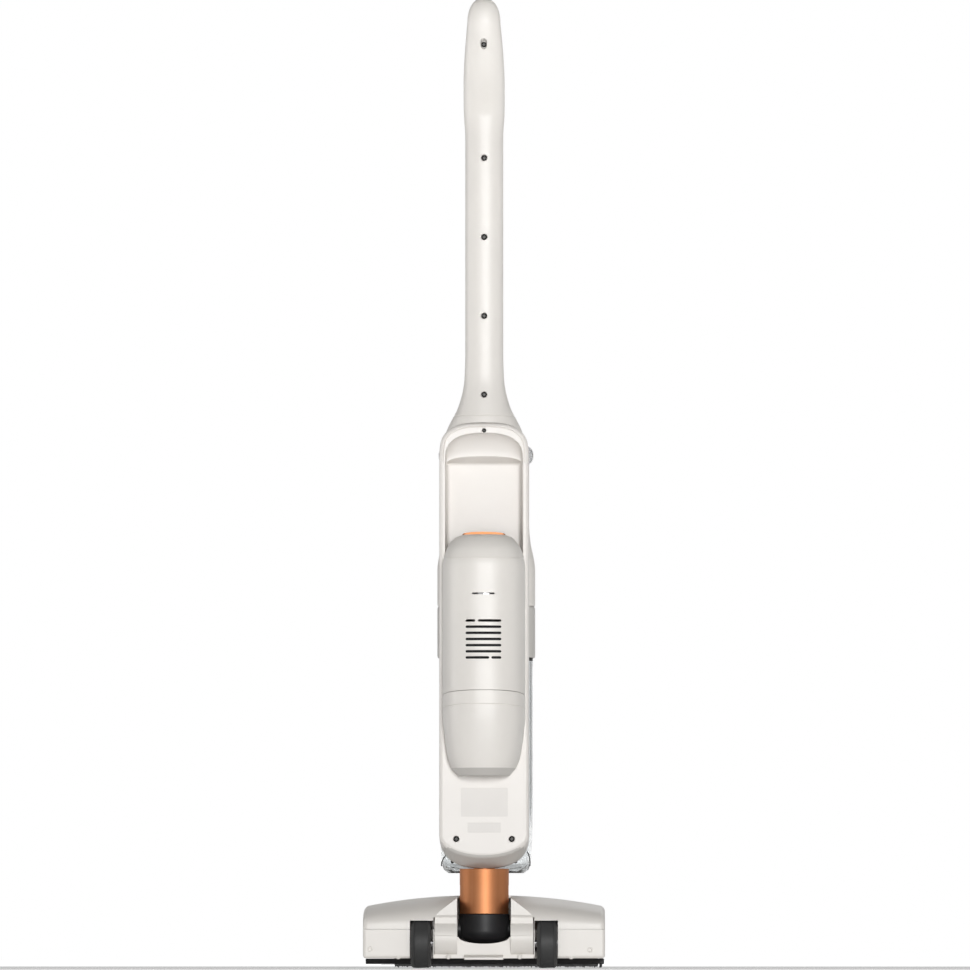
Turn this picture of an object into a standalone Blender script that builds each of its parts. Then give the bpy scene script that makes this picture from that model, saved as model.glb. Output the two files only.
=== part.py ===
"""Wet dry floor scrubber: a cordless upright floor washer that stands on its roller head.

Metres, +Z up, +Y is the front (roller, tanks and display), -Y is the user's side.  The origin is
the middle of the bounding box, on the floor.  Every y that follows is measured from the neck's
axis, and place() moves the finished machine so that its box is centred.
"""
import math

import bmesh
import bpy
from mathutils import Matrix, Vector

# ---------------------------------------------------------------- driving dimensions
HEIGHT = 1.100            # floor to the tip of the grip
NECK_Y = -0.02585         # world y of the neck's axis, which centres the box
GAP = 0.0003              # clearance between touching pieces
WALL = 0.0026             # moulded wall thickness

# floor head
HEAD_HALF = 0.137         # half the head's width
HEAD_REAR = -0.045
HEAD_FRONT = 0.150
HEAD_LOW = 0.011          # underside of the chassis
HEAD_SEAM = 0.044         # level of the seam between chassis and top shell
HEAD_TOP_MIDDLE = 0.083
HEAD_TOP_END = 0.070
COVER_SPLIT = 0.074       # y of the seam between top shell and roller cover
COVER_LOW = 0.030         # lower lip of the roller cover at the front
COVER_BULGE = 0.70        # below 1 the cover's arc is fuller than an ellipse
YOKE_HALF = 0.057         # half width of the notch that holds the yoke
YOKE_FRONT = 0.034

# roller
ROLLER_Y = 0.112
ROLLER_R = 0.0335
ROLLER_Z = ROLLER_R
ROLLER_LEFT = -0.104
ROLLER_RIGHT = 0.1295
BAY_R = 0.0370
CORE_R = 0.0250
END_CAP_R = 0.0332
CHEEK_R = 0.0340          # hole in the right cheek that the roller slides out through
BAY_LEFT = ROLLER_LEFT - 0.002
BAY_RIGHT = 0.1302
MOTOR_Y = 0.046           # brush motor's axis
MOTOR_Z = 0.0305
BELT_BAY = (-0.134, -0.1085)          # left and right of the space for the belt

# wheels
WHEEL_R = 0.028
WHEEL_Y = -0.030
WHEEL_X = 0.0714
WHEEL_WIDTH = 0.0229
WELL_IN = 0.0579          # inner and outer sides of the wheel wells
WELL_OUT = 0.0874

# two-axis joint
PITCH_Z = 0.044
KNUCKLE_R = 0.0287
KNUCKLE_TOP = 0.061
NECK_R = 0.0279
ARM_IN = 0.0302
ARM_OUT = 0.0560
PIN_R = 0.005

# body frame
FRAME_HALF = 0.0508
FRAME_LOW = 0.113
FRAME_HIGH = 0.6184
FRAME_REAR = -0.035
FRAME_FRONT = 0.030
SPINE_FRONT = 0.034
FRAME_TOP_ROUND = (0.0400, 3.0)       # height and fullness of the frame's rounded ends
FRAME_FOOT_ROUND = (0.0387, 2.5)
PANEL_FOOT_ROUND = (0.0250, 2.0)
PANEL_RAISE = 0.0130      # how far the rear face stops above the frame's foot
POCKET_HALF = 0.0438
POCKET_LOW = 0.226
POCKET_HIGH = 0.6065
POCKET_FLOOR = 0.0
POCKET_LIP_Y = -0.016
POCKET_LIP_Z = 0.5810
POCKET_TOP_ROUND = (0.0296, 2.6)
POCKET_LIP_ROUND = (0.0080, 2.4)
POCKET_FOOT_ROUND = (0.0200, 4.0)
POCKET_CEILING = POCKET_LIP_Z - 0.0068
LOWER_HOLLOW_HIGH = POCKET_LOW - 0.006
LOWER_HOLLOW_ROUND = (0.030, 2.5)
NECK_SOCKET_HIGH = 0.135

# pod on the back of the frame
POD_HALF = 0.0469
POD_DEPTH = 0.063
POD_TOP = 0.4905
POD_SEAM = 0.3139         # main seam at the centre line
SEAM_TILT = math.radians(6.0)
GRILLE_HALF = 0.0202
GRILLE_TOP = 0.3921
GRILLE_PITCH = 0.00695
GRILLE_SLOT = 0.0029
GRILLE_ROWS = 7

# pole and grip
POLE_HALF = 0.0216
POLE_SPLIT = -0.004       # y of the seam between the two pole shells
POLE_SCREWS = (0.9202, 0.8302, 0.7404, 0.6507)
GRIP_SCREW = 1.0474
SCREW_DEPTH = 0.0025     # how far the pole screws' heads sit below the surface
RIM_SCREW = 0.6096
BUTTONS = (("power_button", 1.0180, 0.0085), ("mode_button", 0.9900, 0.0070))   # name, level, radius
PANEL_SCREW = (0.0315, 0.1461)
HEAD_SCREW_R = 0.0032
SCREW_HEAD_HIGH = 0.0022
POLE_PILOT_END = 0.0085
PANEL_PILOT_END = -0.0150

# tanks on the front
TANK_REAR = SPINE_FRONT + GAP
TANK_FRONT = 0.112
DIRTY_LOW = 0.108
DIRTY_HIGH = 0.350
LID_HIGH = 0.412
CLEAN_HIGH = 0.560
DISPLAY_Z = 0.584

# ---------------------------------------------------------------- materials
# colour, roughness, metallic, transmission
FINISHES = {
    "shell_white": ((0.80, 0.78, 0.74), 0.30, 0.0, 0.0),
    "shell_grey": ((0.52, 0.50, 0.48), 0.40, 0.0, 0.0),
    "copper": ((0.72, 0.34, 0.12), 0.28, 1.0, 0.0),
    "black_plastic": ((0.02, 0.02, 0.022), 0.45, 0.0, 0.0),
    "rubber": ((0.03, 0.03, 0.03), 0.75, 0.0, 0.0),
    "clear_tank": ((0.80, 0.84, 0.85), 0.08, 0.0, 0.9),
    "gloss_black": ((0.01, 0.01, 0.012), 0.08, 0.0, 0.0),
    "steel": ((0.56, 0.56, 0.57), 0.30, 1.0, 0.0),
    "black_oxide": ((0.06, 0.06, 0.06), 0.42, 1.0, 0.0),
    "carbon_foam": ((0.03, 0.03, 0.03), 0.95, 0.0, 0.0),
    "pile": ((0.30, 0.30, 0.31), 0.95, 0.0, 0.0),
    "filter": ((0.85, 0.85, 0.80), 0.90, 0.0, 0.0),
    "board": ((0.02, 0.16, 0.07), 0.50, 0.0, 0.0),
    "cell_blue": ((0.06, 0.16, 0.42), 0.45, 0.0, 0.0),
}

for leftover in list(bpy.data.objects):
    bpy.data.objects.remove(leftover, do_unlink=True)


def new_collection(name):
    collection = bpy.data.collections.new(name)
    bpy.context.scene.collection.children.link(collection)
    return collection


PARTS = new_collection("floor_scrubber")
CUTTERS = new_collection("cutters")


def finish_material(name):
    material = bpy.data.materials.get(name)
    if material is None:
        colour, roughness, metallic, transmission = FINISHES[name]
        material = bpy.data.materials.new(name)
        material.use_nodes = True
        shader = material.node_tree.nodes["Principled BSDF"]
        shader.inputs["Base Color"].default_value = (*colour, 1.0)
        shader.inputs["Roughness"].default_value = roughness
        shader.inputs["Metallic"].default_value = metallic
        shader.inputs["Transmission Weight"].default_value = transmission
    return material


# ---------------------------------------------------------------- building blocks
def add_part(name, mesh, finish):
    """Link a mesh as a part, or as a hidden cutter when it has no finish."""
    piece = bpy.data.objects.new(name, mesh)
    if finish is None:
        CUTTERS.objects.link(piece)
        piece.hide_render = True
        piece.display_type = "WIRE"
    else:
        PARTS.objects.link(piece)
        mesh.materials.append(finish_material(finish))
    return piece


def from_bmesh(name, work, finish):
    bmesh.ops.recalc_face_normals(work, faces=work.faces)
    if work.calc_volume(signed=True) < 0:
        bmesh.ops.reverse_faces(work, faces=work.faces)
    mesh = bpy.data.meshes.new(name)
    work.to_mesh(mesh)
    work.free()
    return add_part(name, mesh, finish)


def smooth(piece, degrees=35):
    piece.data.shade_smooth()
    piece.data.set_sharp_from_angle(angle=math.radians(degrees))


def bevel(piece, width, segments=2, degrees=40):
    modifier = piece.modifiers.new("edges", "BEVEL")
    modifier.width = width
    modifier.segments = segments
    modifier.limit_method = "ANGLE"
    modifier.angle_limit = math.radians(degrees)


def combine(target, other, operation):
    modifier = target.modifiers.new(operation.lower(), "BOOLEAN")
    modifier.operation = operation
    modifier.object = other


def cut(target, *cutters):
    for cutter in cutters:
        combine(target, cutter, "DIFFERENCE")


def join(target, *others):
    for other in others:
        combine(target, other, "UNION")


def box(name, low, high, finish=None, edge=0.0):
    """A block between two corners."""
    size = [high[i] - low[i] for i in range(3)]
    middle = [(high[i] + low[i]) / 2 for i in range(3)]
    work = bmesh.new()
    bmesh.ops.create_cube(work, size=1.0)
    bmesh.ops.scale(work, vec=size, verts=work.verts)
    bmesh.ops.translate(work, vec=middle, verts=work.verts)
    piece = from_bmesh(name, work, finish)
    if edge:
        bevel(piece, edge)
    return piece


def rod(name, radius, start, end, finish=None, sides=24, radius_end=None):
    """A cylinder or cone between two points."""
    start, end = Vector(start), Vector(end)
    work = bmesh.new()
    bmesh.ops.create_cone(work, cap_ends=True, segments=sides, radius1=radius,
                          radius2=radius if radius_end is None else radius_end,
                          depth=(end - start).length)
    turn = Vector((0, 0, 1)).rotation_difference(end - start).to_matrix().to_4x4()
    bmesh.ops.transform(work, matrix=Matrix.Translation((start + end) / 2) @ turn, verts=work.verts)
    piece = from_bmesh(name, work, finish)
    smooth(piece)
    return piece


def turned(name, profile, centre, axis, finish=None, steps=32):
    """A turned piece: the profile's (radius, along) points go down its outer side, top to bottom."""
    mesh = bpy.data.meshes.new(name)
    points = [(radius, 0.0, along) for radius, along in profile]
    edges = [(i, i + 1) for i in range(len(points) - 1)]
    if profile[0][0] > 0:
        edges.append((len(points) - 1, 0))
    mesh.from_pydata(points, edges, [])
    piece = add_part(name, mesh, finish)
    screw = piece.modifiers.new("turn", "SCREW")
    screw.steps = steps
    screw.render_steps = steps
    screw.use_merge_vertices = True
    screw.merge_threshold = 0.0001
    piece.location = centre
    if axis == "X":
        piece.rotation_euler = (0.0, math.radians(90), 0.0)
    if axis == "Y":
        piece.rotation_euler = (math.radians(-90), math.pi / steps, 0.0)
    return piece


def loft(name, rings, finish=None):
    """A closed solid skinned over rings of equally many points, with flat ends."""
    work = bmesh.new()
    rows = [[work.verts.new(point) for point in ring] for ring in rings]
    for row, following in zip(rows, rows[1:]):
        for i in range(len(row)):
            j = (i + 1) % len(row)
            work.faces.new((row[i], row[j], following[j], following[i]))
    work.faces.new(rows[0])
    work.faces.new(rows[-1])
    piece = from_bmesh(name, work, finish)
    smooth(piece)
    return piece


def slab(name, outline, axis, low, high, finish=None):
    """A flat outline given a thickness along an axis: (x, z) points for Y, (y, z) points for X."""
    curve = bpy.data.curves.new(name, "CURVE")
    curve.dimensions = "2D"
    curve.fill_mode = "BOTH"
    curve.extrude = (high - low) / 2
    spline = curve.splines.new("POLY")
    spline.points.add(len(outline) - 1)
    for point, (across, up) in zip(spline.points, outline):
        point.co = (across, up, 0.0, 1.0)
    spline.use_cyclic_u = True
    guide = bpy.data.objects.new(name + "_outline", curve)
    CUTTERS.objects.link(guide)
    middle = (high + low) / 2
    if axis == "Y":
        guide.matrix_world = Matrix.Translation((0, middle, 0)) @ Matrix.Rotation(math.radians(90), 4, "X")
    else:
        upright = Matrix(((0, 0, 1), (1, 0, 0), (0, 1, 0))).to_4x4()
        guide.matrix_world = Matrix.Translation((middle, 0, 0)) @ upright
    bpy.context.view_layer.update()
    solid = bpy.data.meshes.new_from_object(guide.evaluated_get(bpy.context.evaluated_depsgraph_get()))
    work = bmesh.new()
    work.from_mesh(solid)
    bmesh.ops.transform(work, matrix=guide.matrix_world, verts=work.verts)
    bmesh.ops.remove_doubles(work, verts=work.verts, dist=0.00001)
    bpy.data.objects.remove(guide, do_unlink=True)
    return from_bmesh(name, work, finish)


def rounded_outline(half_width, low, high, corner_width, corner_height, steps=6):
    """(x, z) points of an upright panel with elliptical corners."""
    points = []
    corners = ((1, 1, 0), (-1, 1, 90), (-1, -1, 180), (1, -1, 270))
    for side, up, start in corners:
        centre_x = side * (half_width - corner_width)
        centre_z = high - corner_height if up > 0 else low + corner_height
        for step in range(steps + 1):
            angle = math.radians(start + 90 * step / steps)
            points.append((centre_x + corner_width * math.cos(angle),
                           centre_z + corner_height * math.sin(angle)))
    return points


def rounded_end(half_width, tip, height, fullness, steps):
    """(x, z) points of a panel's rounded end, from its right side over the tip to its left."""
    points = []
    for step in range(steps + 1):
        angle = math.pi * step / steps
        across, up = math.cos(angle), math.sin(angle)
        points.append((half_width * math.copysign(abs(across) ** (2 / fullness), across),
                       tip - height + height * up ** (2 / fullness)))
    return points


def panel_outline(half_width, low, high, foot, top, steps=14):
    """(x, z) points of an upright panel; foot and top are each (height, fullness) of an end."""
    upper = rounded_end(half_width, high, top[0], top[1], steps)
    lower = [(-x, -z) for x, z in rounded_end(half_width, -low, foot[0], foot[1], steps)]
    return upper + lower


def upright_ring(outline, y):
    return [(x, y, z) for x, z in outline]


def oval_ring(z, half_width, rear, front, fullness=2.6, count=20):
    """A level ring, a rounded rectangle where fullness is above 2, with flats across its axes."""
    middle, half_depth = (rear + front) / 2, (front - rear) / 2
    ring = []
    for step in range(count):
        angle = 2 * math.pi * (step + 0.5) / count
        cosine, sine = math.cos(angle), math.sin(angle)
        ring.append((half_width * math.copysign(abs(cosine) ** (2 / fullness), cosine),
                     middle + half_depth * math.copysign(abs(sine) ** (2 / fullness), sine), z))
    return ring


def hull_of_circles(first, second, steps=10):
    """The belt-shaped outline around two circles, each given as (centre, radius)."""
    (start, radius_a), (end, radius_b) = first, second
    span = Vector(end) - Vector(start)
    heading = math.atan2(span.y, span.x)
    lean = math.acos((radius_a - radius_b) / span.length)
    points = []
    for centre, radius, begin, finish in ((end, radius_b, heading - lean, heading + lean),
                                          (start, radius_a, heading + lean,
                                           heading + 2 * math.pi - lean)):
        for step in range(steps + 1):
            angle = begin + (finish - begin) * step / steps
            points.append((centre[0] + radius * math.cos(angle), centre[1] + radius * math.sin(angle)))
    return points


# ---------------------------------------------------------------- floor head
def head_height(x):
    """Level of the head's crown, which falls off towards both ends."""
    return HEAD_TOP_MIDDLE - (HEAD_TOP_MIDDLE - HEAD_TOP_END) * (abs(x) / HEAD_HALF) ** 2.2


def top_shell_ring(x, inset, low):
    """Rear part of the head's profile at x, from the seam over the crown to the cover's split."""
    rear, crown, split = HEAD_REAR + inset, head_height(x) - inset, COVER_SPLIT - inset
    reach = COVER_SPLIT - 0.012 - rear
    base = HEAD_SEAM + 0.002
    points = []
    for step in range(9):
        angle = math.radians(90 * step / 8)
        points.append((x, rear + reach * (1 - math.cos(angle) ** 0.75),
                       base + (crown - base) * math.sin(angle) ** 0.75))
    points.append((x, split, crown))
    points.append((x, split, low))
    points.append((x, rear, low))
    return points


def cover_ring(x, inset):
    """Front part of the head's profile at x: the cover's arc over the roller down to its lip."""
    crown = head_height(x) - inset
    rear = COVER_SPLIT + GAP
    points = [(x, rear, crown)]
    for step in range(1, 11):
        angle = math.radians(90 * step / 10)
        points.append((x, rear + (HEAD_FRONT - inset - rear) * math.sin(angle) ** COVER_BULGE,
                       COVER_LOW + (crown - COVER_LOW) * math.cos(angle) ** COVER_BULGE))
    points.append((x, rear, COVER_LOW))
    return points


def span(low, high, count):
    return [low + (high - low) * i / (count - 1) for i in range(count)]


def wheel_well(name, side):
    """Cutter for the round space that a wheel turns in."""
    return rod(name, WHEEL_R + 0.003, (side * WELL_IN, WHEEL_Y, WHEEL_R),
               (side * WELL_OUT, WHEEL_Y, WHEEL_R), sides=28)


def make_chassis():
    chassis = box("head_chassis", (-HEAD_HALF, HEAD_REAR, HEAD_LOW),
                  (HEAD_HALF, HEAD_FRONT - 0.004, HEAD_SEAM - GAP), "shell_white")
    bevel(chassis, 0.003)
    cut(chassis,
        rod("bay_cut", BAY_R, (BAY_LEFT, ROLLER_Y, ROLLER_Z), (BAY_RIGHT, ROLLER_Y, ROLLER_Z),
            sides=40),
        rod("end_cap_cut", CHEEK_R, (0.12, ROLLER_Y, ROLLER_Z), (0.15, ROLLER_Y, ROLLER_Z),
            sides=40),
        box("bay_front_cut", (BAY_LEFT, ROLLER_Y, -0.01), (0.150, 0.16, 0.06)),
        box("yoke_notch_cut", (-YOKE_HALF, HEAD_REAR - 0.01, 0.0), (YOKE_HALF, YOKE_FRONT, 0.06)),
        box("duct_cut", (-0.020, YOKE_FRONT - 0.01, 0.0134), (0.020, 0.09, 0.06)),
        box("belt_bay_cut", (BELT_BAY[0], 0.018, 0.014), (BELT_BAY[1], 0.143, 0.06)),
        box("motor_bay_cut", (-0.110, 0.022, 0.014), (-0.030, 0.068, 0.06)),
        box("pump_bay_cut", (0.030, 0.010, 0.014), (0.132, 0.068, 0.06)))
    for side in (-1, 1):
        inner, outer = sorted((side * WELL_IN, side * WELL_OUT))
        cut(chassis, wheel_well(f"wheel_well_{side}", side),
            box(f"wheel_drop_{side}", (inner, HEAD_REAR - 0.01, 0.0),
                (outer, WHEEL_Y + WHEEL_R, WHEEL_R)))
    cut(chassis, rod("hub_axle_cut", 0.0055, (-0.112, ROLLER_Y, ROLLER_Z), (-0.09, ROLLER_Y, ROLLER_Z)),
        rod("wheel_axle_cut", 0.0043, (-0.065, WHEEL_Y, WHEEL_R), (0.065, WHEEL_Y, WHEEL_R), sides=16))


def make_head_top():
    stations = span(-HEAD_HALF, HEAD_HALF, 15)
    shell = loft("head_top_shell", [top_shell_ring(x, 0.0, HEAD_SEAM) for x in stations], "shell_white")
    inner = [-HEAD_HALF + WALL] + stations[1:-1] + [HEAD_HALF - WALL]
    cut(shell,
        loft("top_hollow_cut", [top_shell_ring(x, WALL, HEAD_SEAM - 0.01) for x in inner]),
        slab("neck_notch_cut", neck_notch(), "X", -0.0305, 0.0305),
        box("shoulder_cut", (-YOKE_HALF - 0.0005, -0.08, 0.035),
            (YOKE_HALF + 0.0005, YOKE_FRONT - 0.001, 0.0575)))
    for side in (-1, 1):
        cut(shell, wheel_well(f"top_wheel_well_{side}", side),
            box(f"latch_cut_{side}", (side * 0.105 - 0.0075, 0.048, 0.05),
                (side * 0.105 + 0.0075, 0.060, 0.10)))
    for modifier in shell.modifiers:  # the exact solver leaves this thin shell uncut in places
        modifier.solver = "MANIFOLD"


def neck_notch():
    """(y, z) outline of the slot in the top shell that the neck swings back through."""
    return [(-0.08, 0.03), (YOKE_FRONT, 0.03), (YOKE_FRONT, 0.12), (-0.08, 0.12)]


def make_roller_cover():
    stations = span(-HEAD_HALF, HEAD_HALF, 15)
    cover = loft("roller_cover", [cover_ring(x, 0.0) for x in stations], "shell_white")
    cut(cover,
        rod("cover_bay_cut", BAY_R, (BAY_LEFT, ROLLER_Y, ROLLER_Z),
            (BAY_RIGHT, ROLLER_Y, ROLLER_Z), sides=40),
        rod("cover_cap_cut", CHEEK_R, (0.12, ROLLER_Y, ROLLER_Z), (0.15, ROLLER_Y, ROLLER_Z),
            sides=40),
        box("cover_left_cut", (-0.15, 0.06, 0.0), (BAY_LEFT + GAP, HEAD_FRONT - 0.004 + GAP, HEAD_SEAM)),
        box("cover_low_cut", (-0.15, 0.06, 0.0), (0.15, ROLLER_Y + 0.02, HEAD_SEAM)),
        box("belt_top_cut", (BELT_BAY[0], 0.08, 0.03), (BELT_BAY[1], 0.139, 0.058)))


def make_yoke():
    """Rear cradle: a floor plate and two arms that carry the wheel axles and the pitch pins."""
    yoke = box("neck_yoke", (-YOKE_HALF + GAP, -0.040, HEAD_LOW),
               (YOKE_HALF - GAP, YOKE_FRONT - GAP, 0.0155), "shell_white")
    arm = hull_of_circles(((WHEEL_Y, 0.031), 0.0185), ((0.0, PITCH_Z), 0.0115))
    for side in (-1, 1):
        low, high = sorted((side * ARM_IN, side * ARM_OUT))
        join(yoke, slab(f"arm_{side}", arm, "X", low, high))
    join(yoke, slab("lip", [(-0.030, HEAD_LOW), (-0.030, 0.0150), (-0.044, 0.0150), (-0.053, 0.0120),
                            (-0.053, 0.0095), (-0.044, HEAD_LOW)], "X", -0.022, 0.022))
    for side in (-1, 1):
        cut(yoke,
            rod(f"pin_hole_{side}", PIN_R + GAP, (side * 0.02, 0, PITCH_Z), (side * 0.0445, 0, PITCH_Z)),
            rod(f"axle_hole_{side}", 0.0043, (side * 0.044, WHEEL_Y, WHEEL_R),
                (side * 0.07, WHEEL_Y, WHEEL_R), sides=16))
        name = "left" if side < 0 else "right"
        rod(f"pitch_pin_{name}", PIN_R, (side * 0.0205, 0, PITCH_Z), (side * 0.044, 0, PITCH_Z),
            "steel", 16)


def make_wheels():
    half = WHEEL_WIDTH / 2
    rim = 0.0018
    for side, name in ((-1, "left"), (1, "right")):
        centre = (side * WHEEL_X, WHEEL_Y, WHEEL_R)
        profile = [(0.0045, half), (WHEEL_R - 0.004, half), (WHEEL_R - rim, half - 0.0008),
                   (WHEEL_R, 0.004), (WHEEL_R, -0.004), (WHEEL_R - rim, 0.0008 - half),
                   (WHEEL_R - 0.004, -half), (0.0045, -half)]
        wheel = turned(f"wheel_{name}", profile, centre, "X", "rubber", 28)
        smooth(wheel)
        axle = turned(f"wheel_axle_{name}",
                      [(0.0, 0.0150), (0.006, 0.0150), (0.007, 0.0135), (0.007, half + GAP),
                       (0.004, half + GAP), (0.004, -0.0265), (0.0, -0.0265)],
                      centre, "X", "steel", 16)
        if side < 0:
            axle.rotation_euler = (0.0, math.radians(-90), 0.0)


def make_roller():
    turned("roller_core", [(CORE_R - GAP, ROLLER_RIGHT), (CORE_R - GAP, ROLLER_LEFT),
                           (0.0095, ROLLER_LEFT), (0.0095, ROLLER_RIGHT)],
           (0, ROLLER_Y, ROLLER_Z), "X", "shell_grey", 24)
    turned("roller_sleeve", [(ROLLER_R - 0.001, ROLLER_RIGHT - 0.0002), (ROLLER_R, ROLLER_RIGHT - 0.002),
                             (ROLLER_R, ROLLER_LEFT + 0.002), (ROLLER_R - 0.001, ROLLER_LEFT + 0.0002),
                             (CORE_R, ROLLER_LEFT + 0.0002), (CORE_R, ROLLER_RIGHT - 0.0002)],
           (0, ROLLER_Y, ROLLER_Z), "X", "pile", 28)
    turned("roller_end_cap", [(0.0, HEAD_HALF), (0.012, HEAD_HALF), (0.012, HEAD_HALF - 0.0025),
                              (END_CAP_R - 0.006, HEAD_HALF - 0.0025), (END_CAP_R, HEAD_HALF - 0.004),
                              (END_CAP_R, 0.1305), (0.0085, 0.1305), (0.0085, 0.118), (0.0, 0.118)],
           (0, ROLLER_Y, ROLLER_Z), "X", "black_plastic", 24)
    turned("drive_hub", [(0.0, -0.0950), (0.0090, -0.0950), (0.0090, -0.1038), (0.0052, -0.1038),
                         (0.0052, -0.1100), (0.0150, -0.1100), (0.0150, -0.1110), (0.0122, -0.1115),
                         (0.0122, -0.1205), (0.0150, -0.1210), (0.0150, -0.1220), (0.0, -0.1220)],
           (0, ROLLER_Y, ROLLER_Z), "X", "black_plastic", 16)


def make_brush_drive():
    rod("brush_motor", 0.0145, (-0.106, MOTOR_Y, MOTOR_Z), (-0.040, MOTOR_Y, MOTOR_Z), "steel", 24)
    turned("motor_pinion", [(0.0, -0.1062), (0.003, -0.1062), (0.003, -0.1100), (0.0070, -0.1100),
                            (0.0070, -0.1110), (0.0047, -0.1115), (0.0047, -0.1205),
                            (0.0070, -0.1210), (0.0070, -0.1220), (0.0, -0.1220)],
           (0, MOTOR_Y, MOTOR_Z), "X", "black_plastic", 12)
    outer = hull_of_circles(((ROLLER_Y, ROLLER_Z), 0.0143), ((MOTOR_Y, MOTOR_Z), 0.0068), 7)
    inner = hull_of_circles(((ROLLER_Y, ROLLER_Z), 0.0128), ((MOTOR_Y, MOTOR_Z), 0.0053), 7)
    belt = slab("drive_belt", outer, "X", -0.1203, -0.1117, "rubber")
    cut(belt, slab("belt_inner_cut", inner, "X", -0.13, -0.10))


def make_head_fittings():
    box("squeegee_holder", (-0.136, 0.058, 0.0045), (0.136, 0.0705, HEAD_LOW - GAP),
        "black_plastic", 0.0008)
    box("squeegee_blade", (-0.118, 0.0625, 0.0004), (0.118, 0.0650, 0.0045 - GAP), "rubber")
    turned("intake_duct", [(0.0148, 0.0738), (0.0148, YOKE_FRONT + GAP), (0.0128, YOKE_FRONT + GAP),
                           (0.0128, 0.0738)], (0, 0, 0.0285), "Y", "shell_grey", 20)
    rod("water_pump", 0.0125, (0.040, 0.040, 0.0280), (0.085, 0.040, 0.0280), "black_plastic", 24)
    for side, name in ((-1, "left"), (1, "right")):
        crown = head_height(0.105)
        box(f"cover_latch_{name}", (side * 0.105 - 0.0072, 0.0483, crown - 0.010),
            (side * 0.105 + 0.0072, 0.0597, crown + 0.0012), "shell_grey", 0.0008)


# ---------------------------------------------------------------- neck joint
def make_knuckle():
    profile = [(0.0, KNUCKLE_TOP), (KNUCKLE_R, KNUCKLE_TOP), (KNUCKLE_R, 0.0412), (0.0274, 0.0370),
               (0.0240, 0.0325), (0.0186, 0.0300), (0.0150, 0.0280), (0.0, 0.0275)]
    knuckle = turned("knuckle", profile, (0, 0, 0), "Z", "black_plastic", 28)
    smooth(knuckle)
    join(knuckle, rod("boss", 0.0105, (-0.0297, 0, PITCH_Z), (0.0297, 0, PITCH_Z), sides=20))
    cut(knuckle,
        rod("knuckle_bore", 0.0140, (0, 0, 0.0200), (0, 0, 0.0700), sides=20),
        rod("swivel_seat", 0.0215, (0, 0, KNUCKLE_TOP - 0.008), (0, 0, 0.0720), sides=28))
    for side in (-1, 1):
        cut(knuckle, rod(f"knuckle_pin_{side}", PIN_R + GAP, (side * 0.0200, 0, PITCH_Z),
                         (side * 0.04, 0, PITCH_Z), sides=16))


def make_neck():
    low = KNUCKLE_TOP + GAP
    high = NECK_SOCKET_HIGH
    bore = 0.0175
    spigot = 0.0212
    neck = turned("neck_tube", [(NECK_R, high), (NECK_R, low), (spigot, low), (spigot, low - 0.0075),
                                (bore, low - 0.0075), (bore, low), (bore, high)],
                  (0, 0, 0), "Z", "copper", 32)
    smooth(neck)


# ---------------------------------------------------------------- body frame
def frame_outline(inset, low_raise=0.0, foot=FRAME_FOOT_ROUND):
    """Outline of the body frame; a positive inset shrinks it."""
    return panel_outline(FRAME_HALF - inset, FRAME_LOW + inset + low_raise, FRAME_HIGH - inset,
                         (foot[0] - inset, foot[1]), (FRAME_TOP_ROUND[0] - inset, FRAME_TOP_ROUND[1]))


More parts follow.
